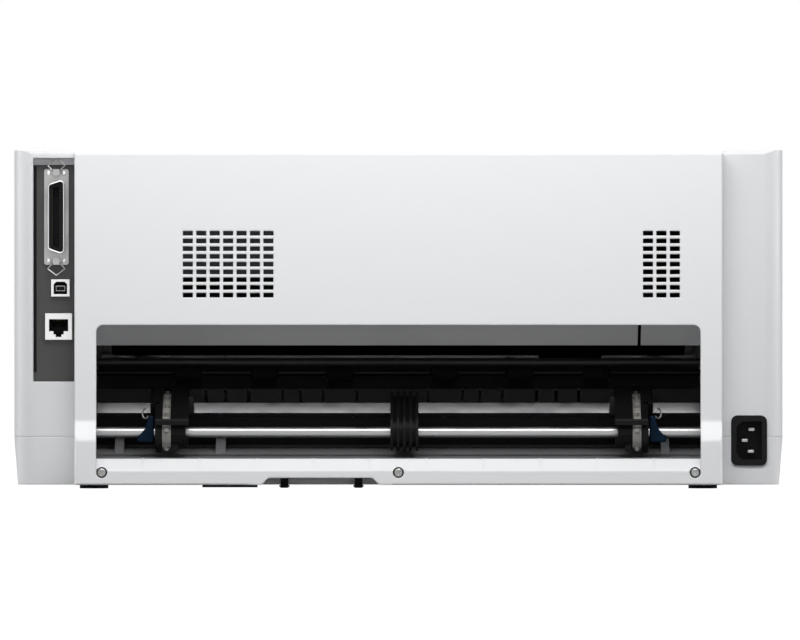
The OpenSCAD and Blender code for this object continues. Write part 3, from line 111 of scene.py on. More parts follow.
def lightScene(s):
    world = bpy.data.worlds.new("studio")
    bpy.context.scene.world = world
    tree = emptyTree(world)
    strength = node(tree, "Mix", {0: seenDirectly(tree, s["mirrored"]), 2: s["ambient"], 3: s["backdrop"]})
    back = node(tree, "Background", {"Color": (1, 1, 1, 1), "Strength": strength.outputs[0]})
    node(tree, "OutputWorld", {"Surface": back.outputs[0]})
    for name, at, size, power in s["lamps"]:
        lamp = bpy.data.lights.new(name, "AREA")
        lamp.shape, lamp.size, lamp.size_y, lamp.energy = "RECTANGLE", size[0], size[1], power
        lampObject = bpy.data.objects.new(name, lamp)
        lampObject.location = at
        way = Vector(s["aim"]) - Vector(at)
        lampObject.rotation_euler = way.to_track_quat("-Z", "Y").to_euler()
        bpy.context.scene.collection.objects.link(lampObject)
    stageFloor = bpy.data.materials.new("stageFloor")
    tree = emptyTree(stageFloor)
    lit = node(tree, "BsdfDiffuse", {"Color": (s["floorTone"],) * 3 + (1,)})
    glow = node(tree, "Math", {0: seenDirectly(tree), 1: s["floorGlow"]}, operation="MULTIPLY")
    shine = node(tree, "Emission", {"Color": (1, 1, 1, 1), "Strength": glow.outputs[0]})
    both = node(tree, "AddShader", {0: lit.outputs[0], 1: shine.outputs[0]})
    node(tree, "OutputMaterial", {"Surface": both.outputs[0]})
    half, low = s["floorHalf"], cadBox[0][2] - s["floorGap"]
    corners = [(-half, -half, low), (half, -half, low), (half, half, low), (-half, half, low)]
    mesh = bpy.data.meshes.new("floor")
    mesh.from_pydata(corners, [], [(0, 1, 2, 3)])
    mesh.materials.append(stageFloor)
    floor = bpy.data.objects.new("floor", mesh)
    bpy.context.scene.collection.objects.link(floor)


lightScene(light)
print("stage lit")

# Effects shared by the finishes


def effectGroup(name, inputs, outputs):
    tree = bpy.data.node_groups.new(name, "ShaderNodeTree")
    kinds = {"c": "NodeSocketColor", "f": "NodeSocketFloat", "v": "NodeSocketVector"}
    for key, (kind, value) in inputs.items():
        tree.interface.new_socket(key, in_out="INPUT", socket_type=kinds[kind]).default_value = value
    for key, kind in outputs.items():
        tree.interface.new_socket(key, in_out="OUTPUT", socket_type=kinds[kind])
    return tree, tree.nodes.new("NodeGroupInput").outputs


def put(tree, **results):
    out = tree.nodes.new("NodeGroupOutput")
    for key, socket in results.items():
        tree.links.new(socket, out.inputs[key])


def mixColour(tree, factor, a, b, **settings):
    return node(tree, "Mix", {0: factor, 6: a, 7: b}, data_type="RGBA", **settings).outputs[2]


def darkened(tree, colour, tint):
    return mixColour(tree, 1.0, colour, (*tint, 1), blend_type="MULTIPLY")


def moulded():
    # fine eroded grain, slow unevenness of tone, and rounded edges whose colour is lighter, partly wear and
    # partly painted highlight
    tree, given = effectGroup("mouldedSkin", {
        "Colour": ("c", (0.8, 0.8, 0.8, 1)), "Rough": ("f", 0.5), "Grain": ("f", 2600),
        "Depth": ("f", 0.00003), "Mottle": ("f", 0.04), "WearAndHighlight": ("f", 0.1), "Radius": ("f", 0.0004)},
        {"Colour": "c", "Roughness": "f", "Normal": "v"})
    place = node(tree, "TexCoord").outputs["Object"]
    grain = node(tree, "TexNoise", {"Vector": place, "Scale": given["Grain"], "Detail": 2.0})
    slow = node(tree, "TexNoise", {"Vector": place, "Scale": 11.0, "Detail": 3.0, "Roughness": 0.6})
    rounded = node(tree, "Bevel", {"Radius": given["Radius"]}, samples=4)
    skin = node(tree, "Bump", {"Height": grain.outputs[0], "Distance": given["Depth"], "Strength": 0.5,
                               "Normal": rounded.outputs[0]})
    flat = node(tree, "NewGeometry").outputs["Normal"]
    turned = node(tree, "VectorMath", {0: rounded.outputs[0], 1: flat}, operation="DOT_PRODUCT")
    edge = node(tree, "MapRange", {0: turned.outputs["Value"], 1: 0.995, 2: 0.8, 3: 0.0, 4: 1.0})
    wornAndLit = node(tree, "Math", {0: edge.outputs[0], 1: given["WearAndHighlight"]}, operation="MULTIPLY")
    uneven = node(tree, "Math", {0: slow.outputs[0], 1: given["Mottle"]}, operation="MULTIPLY")
    dark = darkened(tree, given["Colour"], (0.55, 0.54, 0.52))
    toned = mixColour(tree, uneven.outputs[0], given["Colour"], dark)
    # bevelled edges mixed towards near white: partly wear, partly painted highlight
    colour = mixColour(tree, wornAndLit.outputs[0], toned, (0.95, 0.95, 0.95, 1))
    change = node(tree, "MapRange", {0: slow.outputs[0], 1: 0.3, 2: 0.7, 3: -0.05, 4: 0.05})
    rough = node(tree, "Math", {0: given["Rough"], 1: change.outputs[0]}, operation="ADD")
    put(tree, Colour=colour, Roughness=rough.outputs[0], Normal=skin.outputs[0])


def machined():
    # streaks along one axis, as drawing or turning leaves them, with a few dull patches
    tree, given = effectGroup("machinedSkin", {
        "Colour": ("c", (0.6, 0.6, 0.6, 1)), "Rough": ("f", 0.3), "Stretch": ("v", (1, 1, 1)),
        "Depth": ("f", 0.00002), "Streak": ("f", 0.15), "Radius": ("f", 0.0002)},
        {"Colour": "c", "Roughness": "f", "Normal": "v"})
    place = node(tree, "TexCoord").outputs["Object"]
    drawn = node(tree, "VectorMath", {0: place, 1: given["Stretch"]}, operation="MULTIPLY").outputs[0]
    lines = node(tree, "TexNoise", {"Vector": drawn, "Scale": 1.0, "Detail": 3.0})
    dull = node(tree, "TexNoise", {"Vector": place, "Scale": 60.0, "Detail": 2.0})
    rounded = node(tree, "Bevel", {"Radius": given["Radius"]}, samples=4)
    skin = node(tree, "Bump", {"Height": lines.outputs[0], "Distance": given["Depth"], "Strength": 0.6,
                               "Normal": rounded.outputs[0]})
    shade = node(tree, "Math", {0: lines.outputs[0], 1: given["Streak"]}, operation="MULTIPLY")
    dark = darkened(tree, given["Colour"], (0.35, 0.35, 0.36))
    colour = mixColour(tree, shade.outputs[0], given["Colour"], dark)
    change = node(tree, "MapRange", {0: dull.outputs[0], 1: 0.35, 2: 0.65, 3: -0.06, 4: 0.08})
    rough = node(tree, "Math", {0: given["Rough"], 1: change.outputs[0]}, operation="ADD")
    put(tree, Colour=colour, Roughness=rough.outputs[0], Normal=skin.outputs[0])


def zincCoat():
    # crystals of a zinc coat, each a slightly different grey
    tree, given = effectGroup("zincCoat", {
        "Colour": ("c", (0.55, 0.56, 0.57, 1)), "Rough": ("f", 0.42), "Crystal": ("f", 160.0),
        "Spread": ("f", 0.3), "Radius": ("f", 0.0003)}, {"Colour": "c", "Roughness": "f", "Normal": "v"})
    place = node(tree, "TexCoord").outputs["Object"]
    cells = node(tree, "TexVoronoi", {"Vector": place, "Scale": given["Crystal"]})
    tone = node(tree, "SeparateColor", {0: cells.outputs["Color"]}).outputs[0]
    shade = node(tree, "Math", {0: tone, 1: given["Spread"]}, operation="MULTIPLY")
    dark = darkened(tree, given["Colour"], (0.6, 0.62, 0.66))
    colour = mixColour(tree, shade.outputs[0], given["Colour"], dark)
    change = node(tree, "MapRange", {0: tone, 1: 0.0, 2: 1.0, 3: -0.07, 4: 0.07})
    rough = node(tree, "Math", {0: given["Rough"], 1: change.outputs[0]}, operation="ADD")
    rounded = node(tree, "Bevel", {"Radius": given["Radius"]}, samples=4)
    put(tree, Colour=colour, Roughness=rough.outputs[0], Normal=rounded.outputs[0])


def boardPrint():
    # copper tracks under a solder mask: thin straight lines that turn at right angles, and round pads
    tree, given = effectGroup("boardPrint", {
        "Colour": ("c", (0.03, 0.2, 0.1, 1)), "Track": ("c", (0.07, 0.34, 0.16, 1)),
        "Pad": ("c", (0.72, 0.7, 0.62, 1)), "Pitch": ("f", 400.0)},
        {"Colour": "c", "Roughness": "f", "Height": "f"})
    place = node(tree, "TexCoord").outputs["Object"]
    cells = node(tree, "TexVoronoi", {"Vector": place, "Scale": given["Pitch"], "Randomness": 0.35},
                 distance="CHEBYCHEV")
    line = node(tree, "MapRange", {0: cells.outputs["Distance"], 1: 0.3, 2: 0.34, 3: 0.0, 4: 1.0})
    dots = node(tree, "TexVoronoi", {"Vector": place, "Scale": 190.0, "Randomness": 0.8})
    pad = node(tree, "MapRange", {0: dots.outputs["Distance"], 1: 0.15, 2: 0.13, 3: 0.0, 4: 1.0})
    tracks = mixColour(tree, line.outputs[0], given["Colour"], given["Track"])
    colour = mixColour(tree, pad.outputs[0], tracks, given["Pad"])
    rough = node(tree, "MapRange", {0: pad.outputs[0], 1: 0.0, 2: 1.0, 3: 0.3, 4: 0.22})
    high = node(tree, "Math", {0: line.outputs[0], 1: pad.outputs[0]}, operation="MAXIMUM")
    put(tree, Colour=colour, Roughness=rough.outputs[0], Height=high.outputs[0])


for build in (moulded, machined, zincCoat, boardPrint):
    build()

# Finishes: the parts that each one covers are listed in dressing below
finishes = {}


def finish(name, group, values, **shader):
    # one effect group feeds colour, roughness and normal; what is even all over sits on the shader itself
    material = bpy.data.materials.new(name)
    tree = emptyTree(material)
    effect = tree.nodes.new("ShaderNodeGroup")
    effect.node_tree = bpy.data.node_groups[group]
    for key, value in values.items():
        effect.inputs[key].default_value = (*value, 1) if key == "Colour" else value
    principled = node(tree, "BsdfPrincipled", {"Base Color": effect.outputs["Colour"],
                                               "Roughness": effect.outputs["Roughness"]})
    if "Normal" in effect.outputs:
        tree.links.new(effect.outputs["Normal"], principled.inputs["Normal"])
    else:
        raised = node(tree, "Bump", {"Height": effect.outputs["Height"], "Distance": 0.00004})
        tree.links.new(raised.outputs[0], principled.inputs["Normal"])
    for key, value in shader.items():
        principled.inputs[key.replace("_", " ")].default_value = value
    node(tree, "OutputMaterial", {"Surface": principled.outputs[0]})
    finishes[name] = material


def plastic(name, colour, rough=0.5, grain=2600, depth=3e-5, mottle=0.04, wearAndHighlight=0.1, radius=4e-4, **shader):
    finish(name, "mouldedSkin", {"Colour": colour, "Rough": rough, "Grain": grain, "Depth": depth,
                                 "Mottle": mottle, "WearAndHighlight": wearAndHighlight, "Radius": radius}, **shader)


def metal(name, colour, rough=0.28, stretch=(900, 900, 40), depth=1.5e-5, streak=0.15, radius=2e-4):
    finish(name, "machinedSkin", {"Colour": colour, "Rough": rough, "Stretch": stretch, "Depth": depth,
                                  "Streak": streak, "Radius": radius}, Metallic=1.0)


plastic("caseWhite", (0.74, 0.751, 0.77), 0.42, mottle=0.03, wearAndHighlight=0.0, radius=1.2e-3)
plastic("coverWhite", (0.865, 0.876, 0.89), 0.40, mottle=0.02, wearAndHighlight=0.0, radius=1.5e-3)
plastic("coverSmoke", (0.05, 0.052, 0.056), 0.3, mottle=0.1, wearAndHighlight=0.03, radius=1e-3)
plastic("blackPlastic", (0.004, 0.004, 0.0045), 0.5, grain=2000, mottle=0.2, wearAndHighlight=0.002,
        Specular_IOR_Level=0.14)
plastic("tractorBlack", (0.003, 0.003, 0.003), 0.5, grain=2000, mottle=0.2, wearAndHighlight=0.003,
        Specular_IOR_Level=0.12)
plastic("combGrey", (0.006, 0.006, 0.0065), 0.6, grain=2000, mottle=0.2, wearAndHighlight=0.004, Specular_IOR_Level=0.12)
plastic("greyPlastic", (0.19, 0.195, 0.2), 0.5, mottle=0.1, wearAndHighlight=0.03)
plastic("upperGrey", (0.72, 0.722, 0.728), 0.42, mottle=0.08, wearAndHighlight=0.02)
plastic("darkGreyPlastic", (0.013, 0.013, 0.0135), 0.5, mottle=0.2, wearAndHighlight=0.006, Specular_IOR_Level=0.3)
plastic("guideGrey", (0.17, 0.172, 0.178), 0.5, mottle=0.1, wearAndHighlight=0.02)
plastic("leverBlue", (0.0005, 0.008, 0.021), 0.5, mottle=0.1, wearAndHighlight=0.002, Specular_IOR_Level=0.08)
plastic("beltBeige", (0.24, 0.235, 0.22), 0.6, grain=1500, depth=6e-5, mottle=0.15, wearAndHighlight=0.02, radius=2e-4)
plastic("gearWhite", (0.72, 0.71, 0.66), 0.4, mottle=0.05, wearAndHighlight=0.03, radius=2e-4)
plastic("rubber", (0.006, 0.006, 0.0065), 0.78, grain=1400, depth=8e-5, mottle=0.3, wearAndHighlight=0.004,
        Specular_IOR_Level=0.1)
plastic("plateGrey", (0.045, 0.044, 0.043), 0.46, grain=1800, depth=4e-5, mottle=0.2, wearAndHighlight=0.03)
metal("steelShaft", (0.36, 0.36, 0.365), 0.33, stretch=(30, 2500, 2500))
metal("driveSteel", (0.07, 0.07, 0.072), 0.2, stretch=(30, 2500, 2500), streak=0.1)
metal("blackSteel", (0.015, 0.015, 0.0155), 0.5, stretch=(30, 2500, 2500))
metal("steelTurned", (0.6, 0.6, 0.61), 0.26, stretch=(2200, 300, 300))
metal("nickel", (0.42, 0.42, 0.415), 0.42, stretch=(300, 300, 700), streak=0.25)
metal("brightNickel", (0.76, 0.76, 0.755), 0.42, stretch=(300, 300, 500), streak=0.05)
# gold darkened far below a real metal: painted shade for contacts deep inside the parallel port
metal("goldPaintedShade", (0.07, 0.06, 0.042), 0.5, stretch=(300, 300, 300), streak=0.2)
metal("gold", (0.5, 0.4, 0.2), 0.35, stretch=(300, 300, 300), streak=0.1)
metal("aluminium", (0.66, 0.67, 0.68), 0.4, stretch=(600, 30, 600), streak=0.15)
finish("zincSheet", "zincCoat", {"Colour": (0.5, 0.51, 0.52), "Rough": 0.42}, Metallic=0.85)
finish("boardGreen", "boardPrint", {"Colour": (0.02, 0.15, 0.07)})
plastic("smokedWindow", (0.025, 0.027, 0.03), 0.12, grain=400, depth=1e-5, mottle=0.02, wearAndHighlight=0.0,
        Transmission_Weight=0.9, IOR=1.49)

dressing = {
    "caseWhite": "lower_case upper_case sheet_guide front_cover",
    "coverWhite": "rear_cover",
    "coverSmoke": "top_cover",
    "smokedWindow": "top_cover_window",
    "blackPlastic": "parallel_insert power_inlet carriage ribbon_cartridge feed_motor carriage_motor",
    "tractorBlack": """tractor_left tractor_right tractor_cover_left tractor_cover_right
        tractor_sprocket_left tractor_sprocket_right paper_support""",
    "darkGreyPlastic": "slotted_guide",
    "greyPlastic": "feed_button load_button power_button edge_guide_left edge_guide_right",
    "upperGrey": "upper_guide",
    "guideGrey": "lower_guide",
    "plateGrey": "connector_plate",
    "leverBlue": "tractor_lever_left tractor_lever_right ribbon_knob release_lever",
    "beltBeige": "tractor_belt_left tractor_belt_right",
    "gearWhite": "platen_gear idler_gear drive_pulley idler_pulley",
    "rubber": "feet feed_rollers platen carriage_belt",
    "driveSteel": "tractor_drive_shaft",
    "steelShaft": "tractor_guide_shaft carriage_rod",
    "steelTurned": "motor_pinion",
    "aluminium": "print_head",
    # parallel_port takes the darker nickel as painted shade beside its rolled rim in brightNickel
    "nickel": "rear_cover_screws parallel_port bail_upper bail_lower inlet_pins",
    "brightNickel": "usb_port lan_port",
    "zincSheet": "base_plate side_frames power_supply carriage_rail",
    "boardGreen": "main_board"}
for name, members in dressing.items():
    for member in members.split():
        materials = nodes[member].data.materials
        for i in range(len(materials)):
            materials[i] = finishes[name]
        if not len(materials):
            materials.append(finishes[name])
print("finishes set:", len(finishes))

# Shapes: points in millimetres with their faces; piece() turns them into meshes in metres


def span(name):
    low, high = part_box(name)
    return np.array(low) / mm, np.array(high) / mm


def middleOf(name):
    low, high = span(name)
    return (low + high) / 2


def loft(rings, closed=False):
    # quads between rings of equally many points; closed joins the last ring to the first
    rings = np.asarray(rings, float)
    n, m = rings.shape[:2]
    i, j = np.meshgrid(np.arange(n if closed else n - 1), np.arange(m), indexing="ij")
    after, beside = (i + 1) % n, (j + 1) % m
    quads = np.stack([i * m + j, i * m + beside, after * m + beside, after * m + j], -1)
    faces = quads.reshape(-1, 4).tolist()
    if not closed:
        faces += [list(range(m))[::-1], list(range((n - 1) * m, n * m))]
    return rings.reshape(-1, 3), faces


def join(*shapes):
    points, faces, start = [], [], 0
    for some, theirs in shapes:
        points.append(some)
        faces += [[k + start for k in face] for face in theirs]
        start += len(some)
    return np.concatenate(points), faces


def spread(shape, places):
    return join(*[(shape[0] + np.array(place), shape[1]) for place in places])


def laid(outline, along, axis):
    # a flat outline at one place along an axis: it holds Y, Z for X; X, Z for Y; X, Y for Z
    return np.insert(np.asarray(outline, float), axis, along, axis=1)


def inset(outline, by):
    # each point moved inwards along its mitre, for an outline that runs anticlockwise
    outline = np.asarray(outline, float)
    ways = [outline - np.roll(outline, 1, 0), np.roll(outline, -1, 0) - outline]
    n1, n2 = [np.stack([w[:, 1], -w[:, 0]], 1) / np.linalg.norm(w, axis=1)[:, None] for w in ways]
    return outline - by * (n1 + n2) / (1 + (n1 * n2).sum(1))[:, None]


def prism(outline, low, high, axis=2, edge=0.0, steps=3):
    # both ends rounded by a quarter circle: inset e(1 - sin t), height e(1 - cos t)
    turns = [math.pi / 2 * k / steps for k in range(steps + 1)] if edge else [math.pi / 2]
    rounds = [(inset(outline, edge * (1 - math.sin(t))), edge * (1 - math.cos(t))) for t in turns]
    return loft([laid(ring, low + rise, axis) for ring, rise in rounds]
                + [laid(ring, high - rise, axis) for ring, rise in rounds[::-1]])


def rect(x0, y0, x1, y1, r=0.0, steps=3):
    if not r:
        return [(x0, y0), (x1, y0), (x1, y1), (x0, y1)]
    corners = [(x1 - r, y0 + r, -90), (x1 - r, y1 - r, 0), (x0 + r, y1 - r, 90), (x0 + r, y0 + r, 180)]
    angles = [90 * k / steps for k in range(steps + 1)]
    return [(x + r * math.cos(math.radians(start + a)), y + r * math.sin(math.radians(start + a)))
            for x, y, start in corners for a in angles]


def block(low, high, edge=0.0):
    return prism(rect(low[0], low[1], high[0], high[1]), low[2], high[2], 2, edge, 2)


def rod(radius, start, end, bevel):
    # profile of a plain shaft with bevelled ends
    return [(radius - bevel, start), (radius, start + bevel), (radius, end - bevel), (radius - bevel, end)]


def turned(profile, at, axis=0, around=24):
    # profile: radius and place along the axis, from the point given
    turn = np.arange(around) * 2 * math.pi / around
    circle = np.stack([np.cos(turn), np.sin(turn)], 1)
    points, faces = loft([laid(radius * circle, along, axis) for radius, along in profile])
    return points + np.array(at), faces


def bent(points, r, steps=5, closed=False):
    # corners turned into arcs, whose ends are blended as sin((1-t)A), sin(tA); nearly straight ones stay
    points = [np.asarray(p, float) for p in points]
    around = [points[-1]] + points + [points[0]] if closed else points
    line = [] if closed else [points[0]]
    for a, p, b in zip(around[:-2], around[1:-1], around[2:]):
        u, v = (a - p) / np.linalg.norm(a - p), (b - p) / np.linalg.norm(b - p)
        half = math.acos(max(-1.0, min(1.0, float(u @ v)))) / 2
        if half > math.radians(89):
            line.append(p)
            continue
        centre = p + (u + v) / np.linalg.norm(u + v) * r / math.sin(half)
        start, end = [p + w * r / math.tan(half) - centre for w in (u, v)]
        whole = math.pi - 2 * half
        for k in range(steps + 1):
            t = k / steps
            arc = math.sin((1 - t) * whole) * start + math.sin(t * whole) * end
            line.append(centre + arc / math.sin(whole))
    return np.array(line if closed else line + [points[-1]])


def tube(path, radius, up, around=8, closed=False):
    # a round wire along a path that lies in the plane whose normal is up
    path, up = np.asarray(path, float), np.asarray(up, float)
    ahead, behind = np.roll(path, -1, 0), np.roll(path, 1, 0)
    if not closed:
        ahead[-1], behind[0] = path[-1], path[0]
    way = ahead - behind
    side = np.cross(way / np.linalg.norm(way, axis=1)[:, None], up)
    turn = np.arange(around) * 2 * math.pi / around
    rings = path[:, None] + radius * (np.cos(turn)[:, None] * side[:, None] + np.sin(turn)[:, None] * up)
    return loft(rings, closed)


def lining(outline, wall, front, floor, back, axis=1):
    # thin walls and floor set in a hollow, open at the front
    inner = inset(outline, wall)
    return loft([laid(outline, back, axis), laid(outline, front, axis), laid(inner, front, axis),
                 laid(inner, floor, axis)])


def piece(name, shape, material, body="root", stands=(), smooth=35):
    points, faces = shape
    mesh = bpy.data.meshes.new(name)
    mesh.from_pydata((np.asarray(points) * mm).tolist(), [], faces)
    work = bmesh.new()
    work.from_mesh(mesh)
    bmesh.ops.recalc_face_normals(work, faces=work.faces)
    work.to_mesh(mesh)
    work.free()
    mesh.shade_smooth()
    mesh.set_sharp_from_angle(angle=math.radians(smooth))
    mesh.materials.append(finishes[material])
    made = bpy.data.objects.new(name, mesh)
    bpy.context.scene.collection.objects.link(made)
    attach(made, body)
    if stands:
        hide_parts(*stands)


# Connector bay: chamfer under its top edge in the lighter cover white, painted light on a face that sits in
# shade; a black strip beside the plate, painted shade for the bay's dark side wall
bay = {"border": 1.6, "chamfer": 4.2, "slope": (1.3, 3.4), "skin": 0.02,
       "shadeStripWide": 1.9, "shadeStripThick": 0.5, "shadeStripFromFoot": 6, "shadeStripFromTop": 5}


def bayPieces(s):
    (left, _, low), (right, face, top) = span("connector_plate")
    left, low, right, top = left + s["border"], low + s["border"], right - s["border"], top - s["border"]
    under, (back, front) = top - s["chamfer"], s["slope"]
    wedge = [(face + front, top), (face + front, top - s["skin"]), (face + back, under),
             (face, under), (face, top)]
    # the chamfer takes the lighter cover white rather than the case white: painted light on a face in shade
    piece("bayTopChamfer", prism(wedge, left, right, 0), "coverWhite")
    # a black strip on the plate's face: painted shade standing for the dark side wall of the bay
    shadeStrip = block((right - s["shadeStripWide"], face, low + s["shadeStripFromFoot"]),
                (right - s["skin"], face + s["shadeStripThick"], top - s["shadeStripFromTop"]))
    piece("bayPaintedShade", shadeStrip, "blackPlastic")


bayPieces(bay)

# Parallel port: rolled rim of the shell, painted brighter than the shell as a highlight, rivets (radius and
# height), two rows of contacts darkened as painted shade
port = {"shell": [(-5.1, -23.7), (5.2, -20.4), (5.2, 20.4), (-5.1, 23.7)], "corner": 2.6, "deep": 6.4,
        "rim": 0.42, "rimInset": 0.35, "rimSink": 0.05,
        "rivet": [(1.5, -0.1), (1.5, 0.15), (1.275, 0.5625), (0.675, 0.75), (0.1, 0.7875)],
        "rivetAt": (4.8, 27.4), "contacts": 18, "pitch": 2.16, "row": 2.35,
        "contact": (0.5, 1.1), "contactBack": 3.5, "contactFront": 4.2, "contactEdge": 0.12}


def portPieces(s):
    face = span("parallel_port")[1][1]
    flange = face - s["deep"]
    middle = middleOf("parallel_port") * (1, 0, 1)
    less = s["rimInset"]
    inner = [(x - math.copysign(less, x), z - math.copysign(less, z)) for x, z in s["shell"]]
    rim = laid(bent(inner, s["corner"] - less, closed=True), face - s["rimSink"], 1) + middle
    # the rim takes the brighter nickel although it is the same plating as the shell: a painted highlight
    piece("portRim", tube(rim, s["rim"], (0, 1, 0), closed=True), "brightNickel")
    across, up = s["rivetAt"]
    places = [middle + (x, 0, z) for x in (-across, across) for z in (-up, up)]
    piece("portRivets", spread(turned(s["rivet"], (0, flange, 0), 1, 16), places), "brightNickel")
    thick, wide = s["contact"]
    strip = block((-thick / 2, flange - s["contactBack"], -wide / 2),
                  (thick / 2, flange + s["contactFront"], wide / 2), s["contactEdge"])
    rows = [(middle[0] + side * s["row"], 0, middle[2] + (k - (s["contacts"] - 1) / 2) * s["pitch"])
            for side in (-1, 1) for k in range(s["contacts"])]
    # the contacts take the darkened gold: painted shade for the dim inside of the port
    piece("portContacts", spread(strip, rows), "goldPaintedShade")


portPieces(port)

# Wire bails of the port: from the pivots out to the shoulders and in to the point
bail = {"radius": 0.42, "bend": 0.55, "pivotIn": 0.6,
        "line": [(1.3, 0), (2.9, 0), (2.9, 1.9), (5.6, 4.5), (0, 8.7),
                 (-5.6, 4.5), (-2.9, 1.9), (-2.9, 0), (-1.3, 0)]}


def bailPieces(s):
    for side, name in ((1, "bail_upper"), (-1, "bail_lower")):
        low, high = span(name)
        middle = middleOf(name)
        pivot = low[2] + s["pivotIn"] if side > 0 else high[2] - s["pivotIn"]
        line = bent(s["line"], s["bend"]) * (1, side)
        route = laid(line, middle[1], 1) + (middle[0], 0, pivot)
        piece("wire" + name[5:].title(), tube(route, s["radius"], (0, 1, 0)), "nickel", name, (name,))


bailPieces(bail)

# USB and network ports: black throats, tongue, spring contacts; depths count from the port's face
jacks = {"clear": 0.03, "wall": 0.25, "mouth": 0.1,
         "usb": [(-4.2, -3.9), (4.2, -3.9), (4.2, 2.3), (2.6, 3.9), (-2.6, 3.9), (-4.2, 2.3)],
         "usbDeep": (10.5, 11.3),
         "tongue": (2.7, 1.5), "tongueDrop": 0.3, "tongueDeep": (10.6, 0.9), "tongueRound": 0.3,
         "lan": [(-6, -3), (-3.2, -3), (-3.2, -5), (-1.8, -5), (-1.8, -6.6), (1.8, -6.6),
                 (1.8, -5), (3.2, -5), (3.2, -3), (6, -3), (6, 4.6), (-6, 4.6)], "lanDeep": (12.2, 12.9),
         "spring": [(1.2, 4.2), (3.0, 3.6), (11.8, -0.4)], "springBend": 0.8,
         "wires": 8, "wirePitch": 1.02, "wire": 0.26}


def throat(s, name, outline, deep, x, z, face):
    hollow = inset(outline, s["clear"]) + (x, z)
    piece(name, lining(hollow, s["wall"], face - s["mouth"], face - deep[0], face - deep[1]), "blackPlastic")


def jackPieces(s):
    (x, _, z), face = middleOf("usb_port"), span("usb_port")[1][1]
    throat(s, "usbThroat", s["usb"], s["usbDeep"], x, z, face)
    (wide, tall), (back, front), z = s["tongue"], s["tongueDeep"], z - s["tongueDrop"]
    tongue = rect(x - wide, z - tall, x + wide, z + tall, s["tongueRound"])
    piece("usbTongue", prism(tongue, face - back, face - front, 1, s["tongueRound"]), "blackPlastic")
    (x, _, z), face = middleOf("lan_port"), span("lan_port")[1][1]
    throat(s, "lanThroat", s["lan"], s["lanDeep"], x, z, face)
    spring = bent([(0, face - deep, z + up) for deep, up in s["spring"]], s["springBend"])
    places = [(x + (k - (s["wires"] - 1) / 2) * s["wirePitch"], 0, 0) for k in range(s["wires"])]
    piece("lanContacts", spread(tube(spring, s["wire"], (1, 0, 0), 6), places), "gold")


jackPieces(jacks)

# Power inlet: blades with rounded edges and tips, placed from the inlet's middle
inlet = {"blades": [(-1.7, 6.9), (2.7, 0), (-1.2, -6.9)], "half": (2.0, 1.0), "corner": 0.4, "tip": 0.45}


def inletPieces(s):
    middleX, _, middleZ = middleOf("power_inlet")
    low, high = span("inlet_pins")
    wide, thick = s["half"]
    blades = []
    for alongX, alongZ in s["blades"]:
        x, z = middleX + alongX, middleZ + alongZ
        outline = rect(x - wide, z - thick, x + wide, z + thick, s["corner"])
        blades.append(prism(outline, low[1], high[1], 1, s["tip"]))
    piece("inletBlades", join(*blades), "nickel", "root", ("inlet_pins",))


inletPieces(inlet)

# Cover screws: pan heads with a cross, each ringed by a black band of painted shade where the deep gap round
# the head lets no light in
screw = {"radius": 2.72, "rise": 1.25, "domeFoot": 1.02, "shank": 1.45, "high": 1.5, "fromEnd": 2.75,
         "step": 0.05, "centre": 0.06, "crown": (2.0, 18), "brim": (2.12, 7), "around": 64,
         "cut": 0.95, "taper": (1.15, 0.5),
         "turn": 0.6, "arm": 1.75, "armHalf": 0.42, "armSoft": 0.2, "sideSoft": 0.1,
         "shadeRingInner": 2.76, "shadeRingOuter": 3.42, "shadeRingDeep": 0.25, "shadeRingLift": 0.02}


def screwHead(s, x, y, z, seat):
    # height = dome - cut in the cross: dome = rise sqrt(1 - (r / foot)^4), and the cut thins outwards
    crown, brim = s["crown"], s["brim"]
    radii = np.concatenate([np.linspace(s["centre"], *crown), np.linspace(brim[0], s["radius"], brim[1])])
    turn = np.arange(s["around"]) * 2 * math.pi / s["around"]
    r, a = np.meshgrid(radii, turn, indexing="ij")
    u, v = np.abs(r * np.cos(a + s["turn"])), np.abs(r * np.sin(a + s["turn"]))
    across, along = np.minimum(u, v), np.maximum(u, v)
    dome = s["rise"] * np.sqrt(np.clip(1 - (r / (s["radius"] * s["domeFoot"])) ** 4, 0, 1))
    inCross = (np.clip((s["armHalf"] - across) / s["sideSoft"] + 0.5, 0, 1)
               * np.clip((s["arm"] - along) / s["armSoft"] + 0.5, 0, 1))
    deep, less = s["taper"]
    height = dome - s["cut"] * inCross * np.clip(deep - along / s["arm"] * less, 0, 1)
    head = np.stack([x + r * np.cos(a), y + height, z + r * np.sin(a)], -1)
    circle = np.stack([np.cos(turn), np.sin(turn)], 1)
    under = [(s["radius"], y), (s["shank"], y - s["step"]), (s["shank"], seat)]
    return loft(np.concatenate([head, [laid(radius * circle + (x, z), at, 1) for radius, at in under]]))


def screwPieces(s):
    low, high = span("rear_cover_screws")
    face, z = high[1] - s["high"], middleOf("rear_cover_screws")[2]
    places = low[0] + s["fromEnd"], 0, high[0] - s["fromEnd"]
    heads = [screwHead(s, x, face, z, low[1]) for x in places]
    piece("coverScrews", join(*heads), "nickel", "root", ("rear_cover_screws",), smooth=40)
    # a black ring round each head: painted shade for the gap in the counterbore
    inner, outer, deep = s["shadeRingInner"], s["shadeRingOuter"], s["shadeRingDeep"]
    ring = [(inner, 0), (inner, deep), (outer, deep), (outer, 0)]
    shadeRings = [turned(ring, (x, face + s["shadeRingLift"], z), 1, 32) for x in places]
    piece("screwPaintedShade", join(*shadeRings), "blackPlastic")


screwPieces(screw)
print("connectors and screws set")

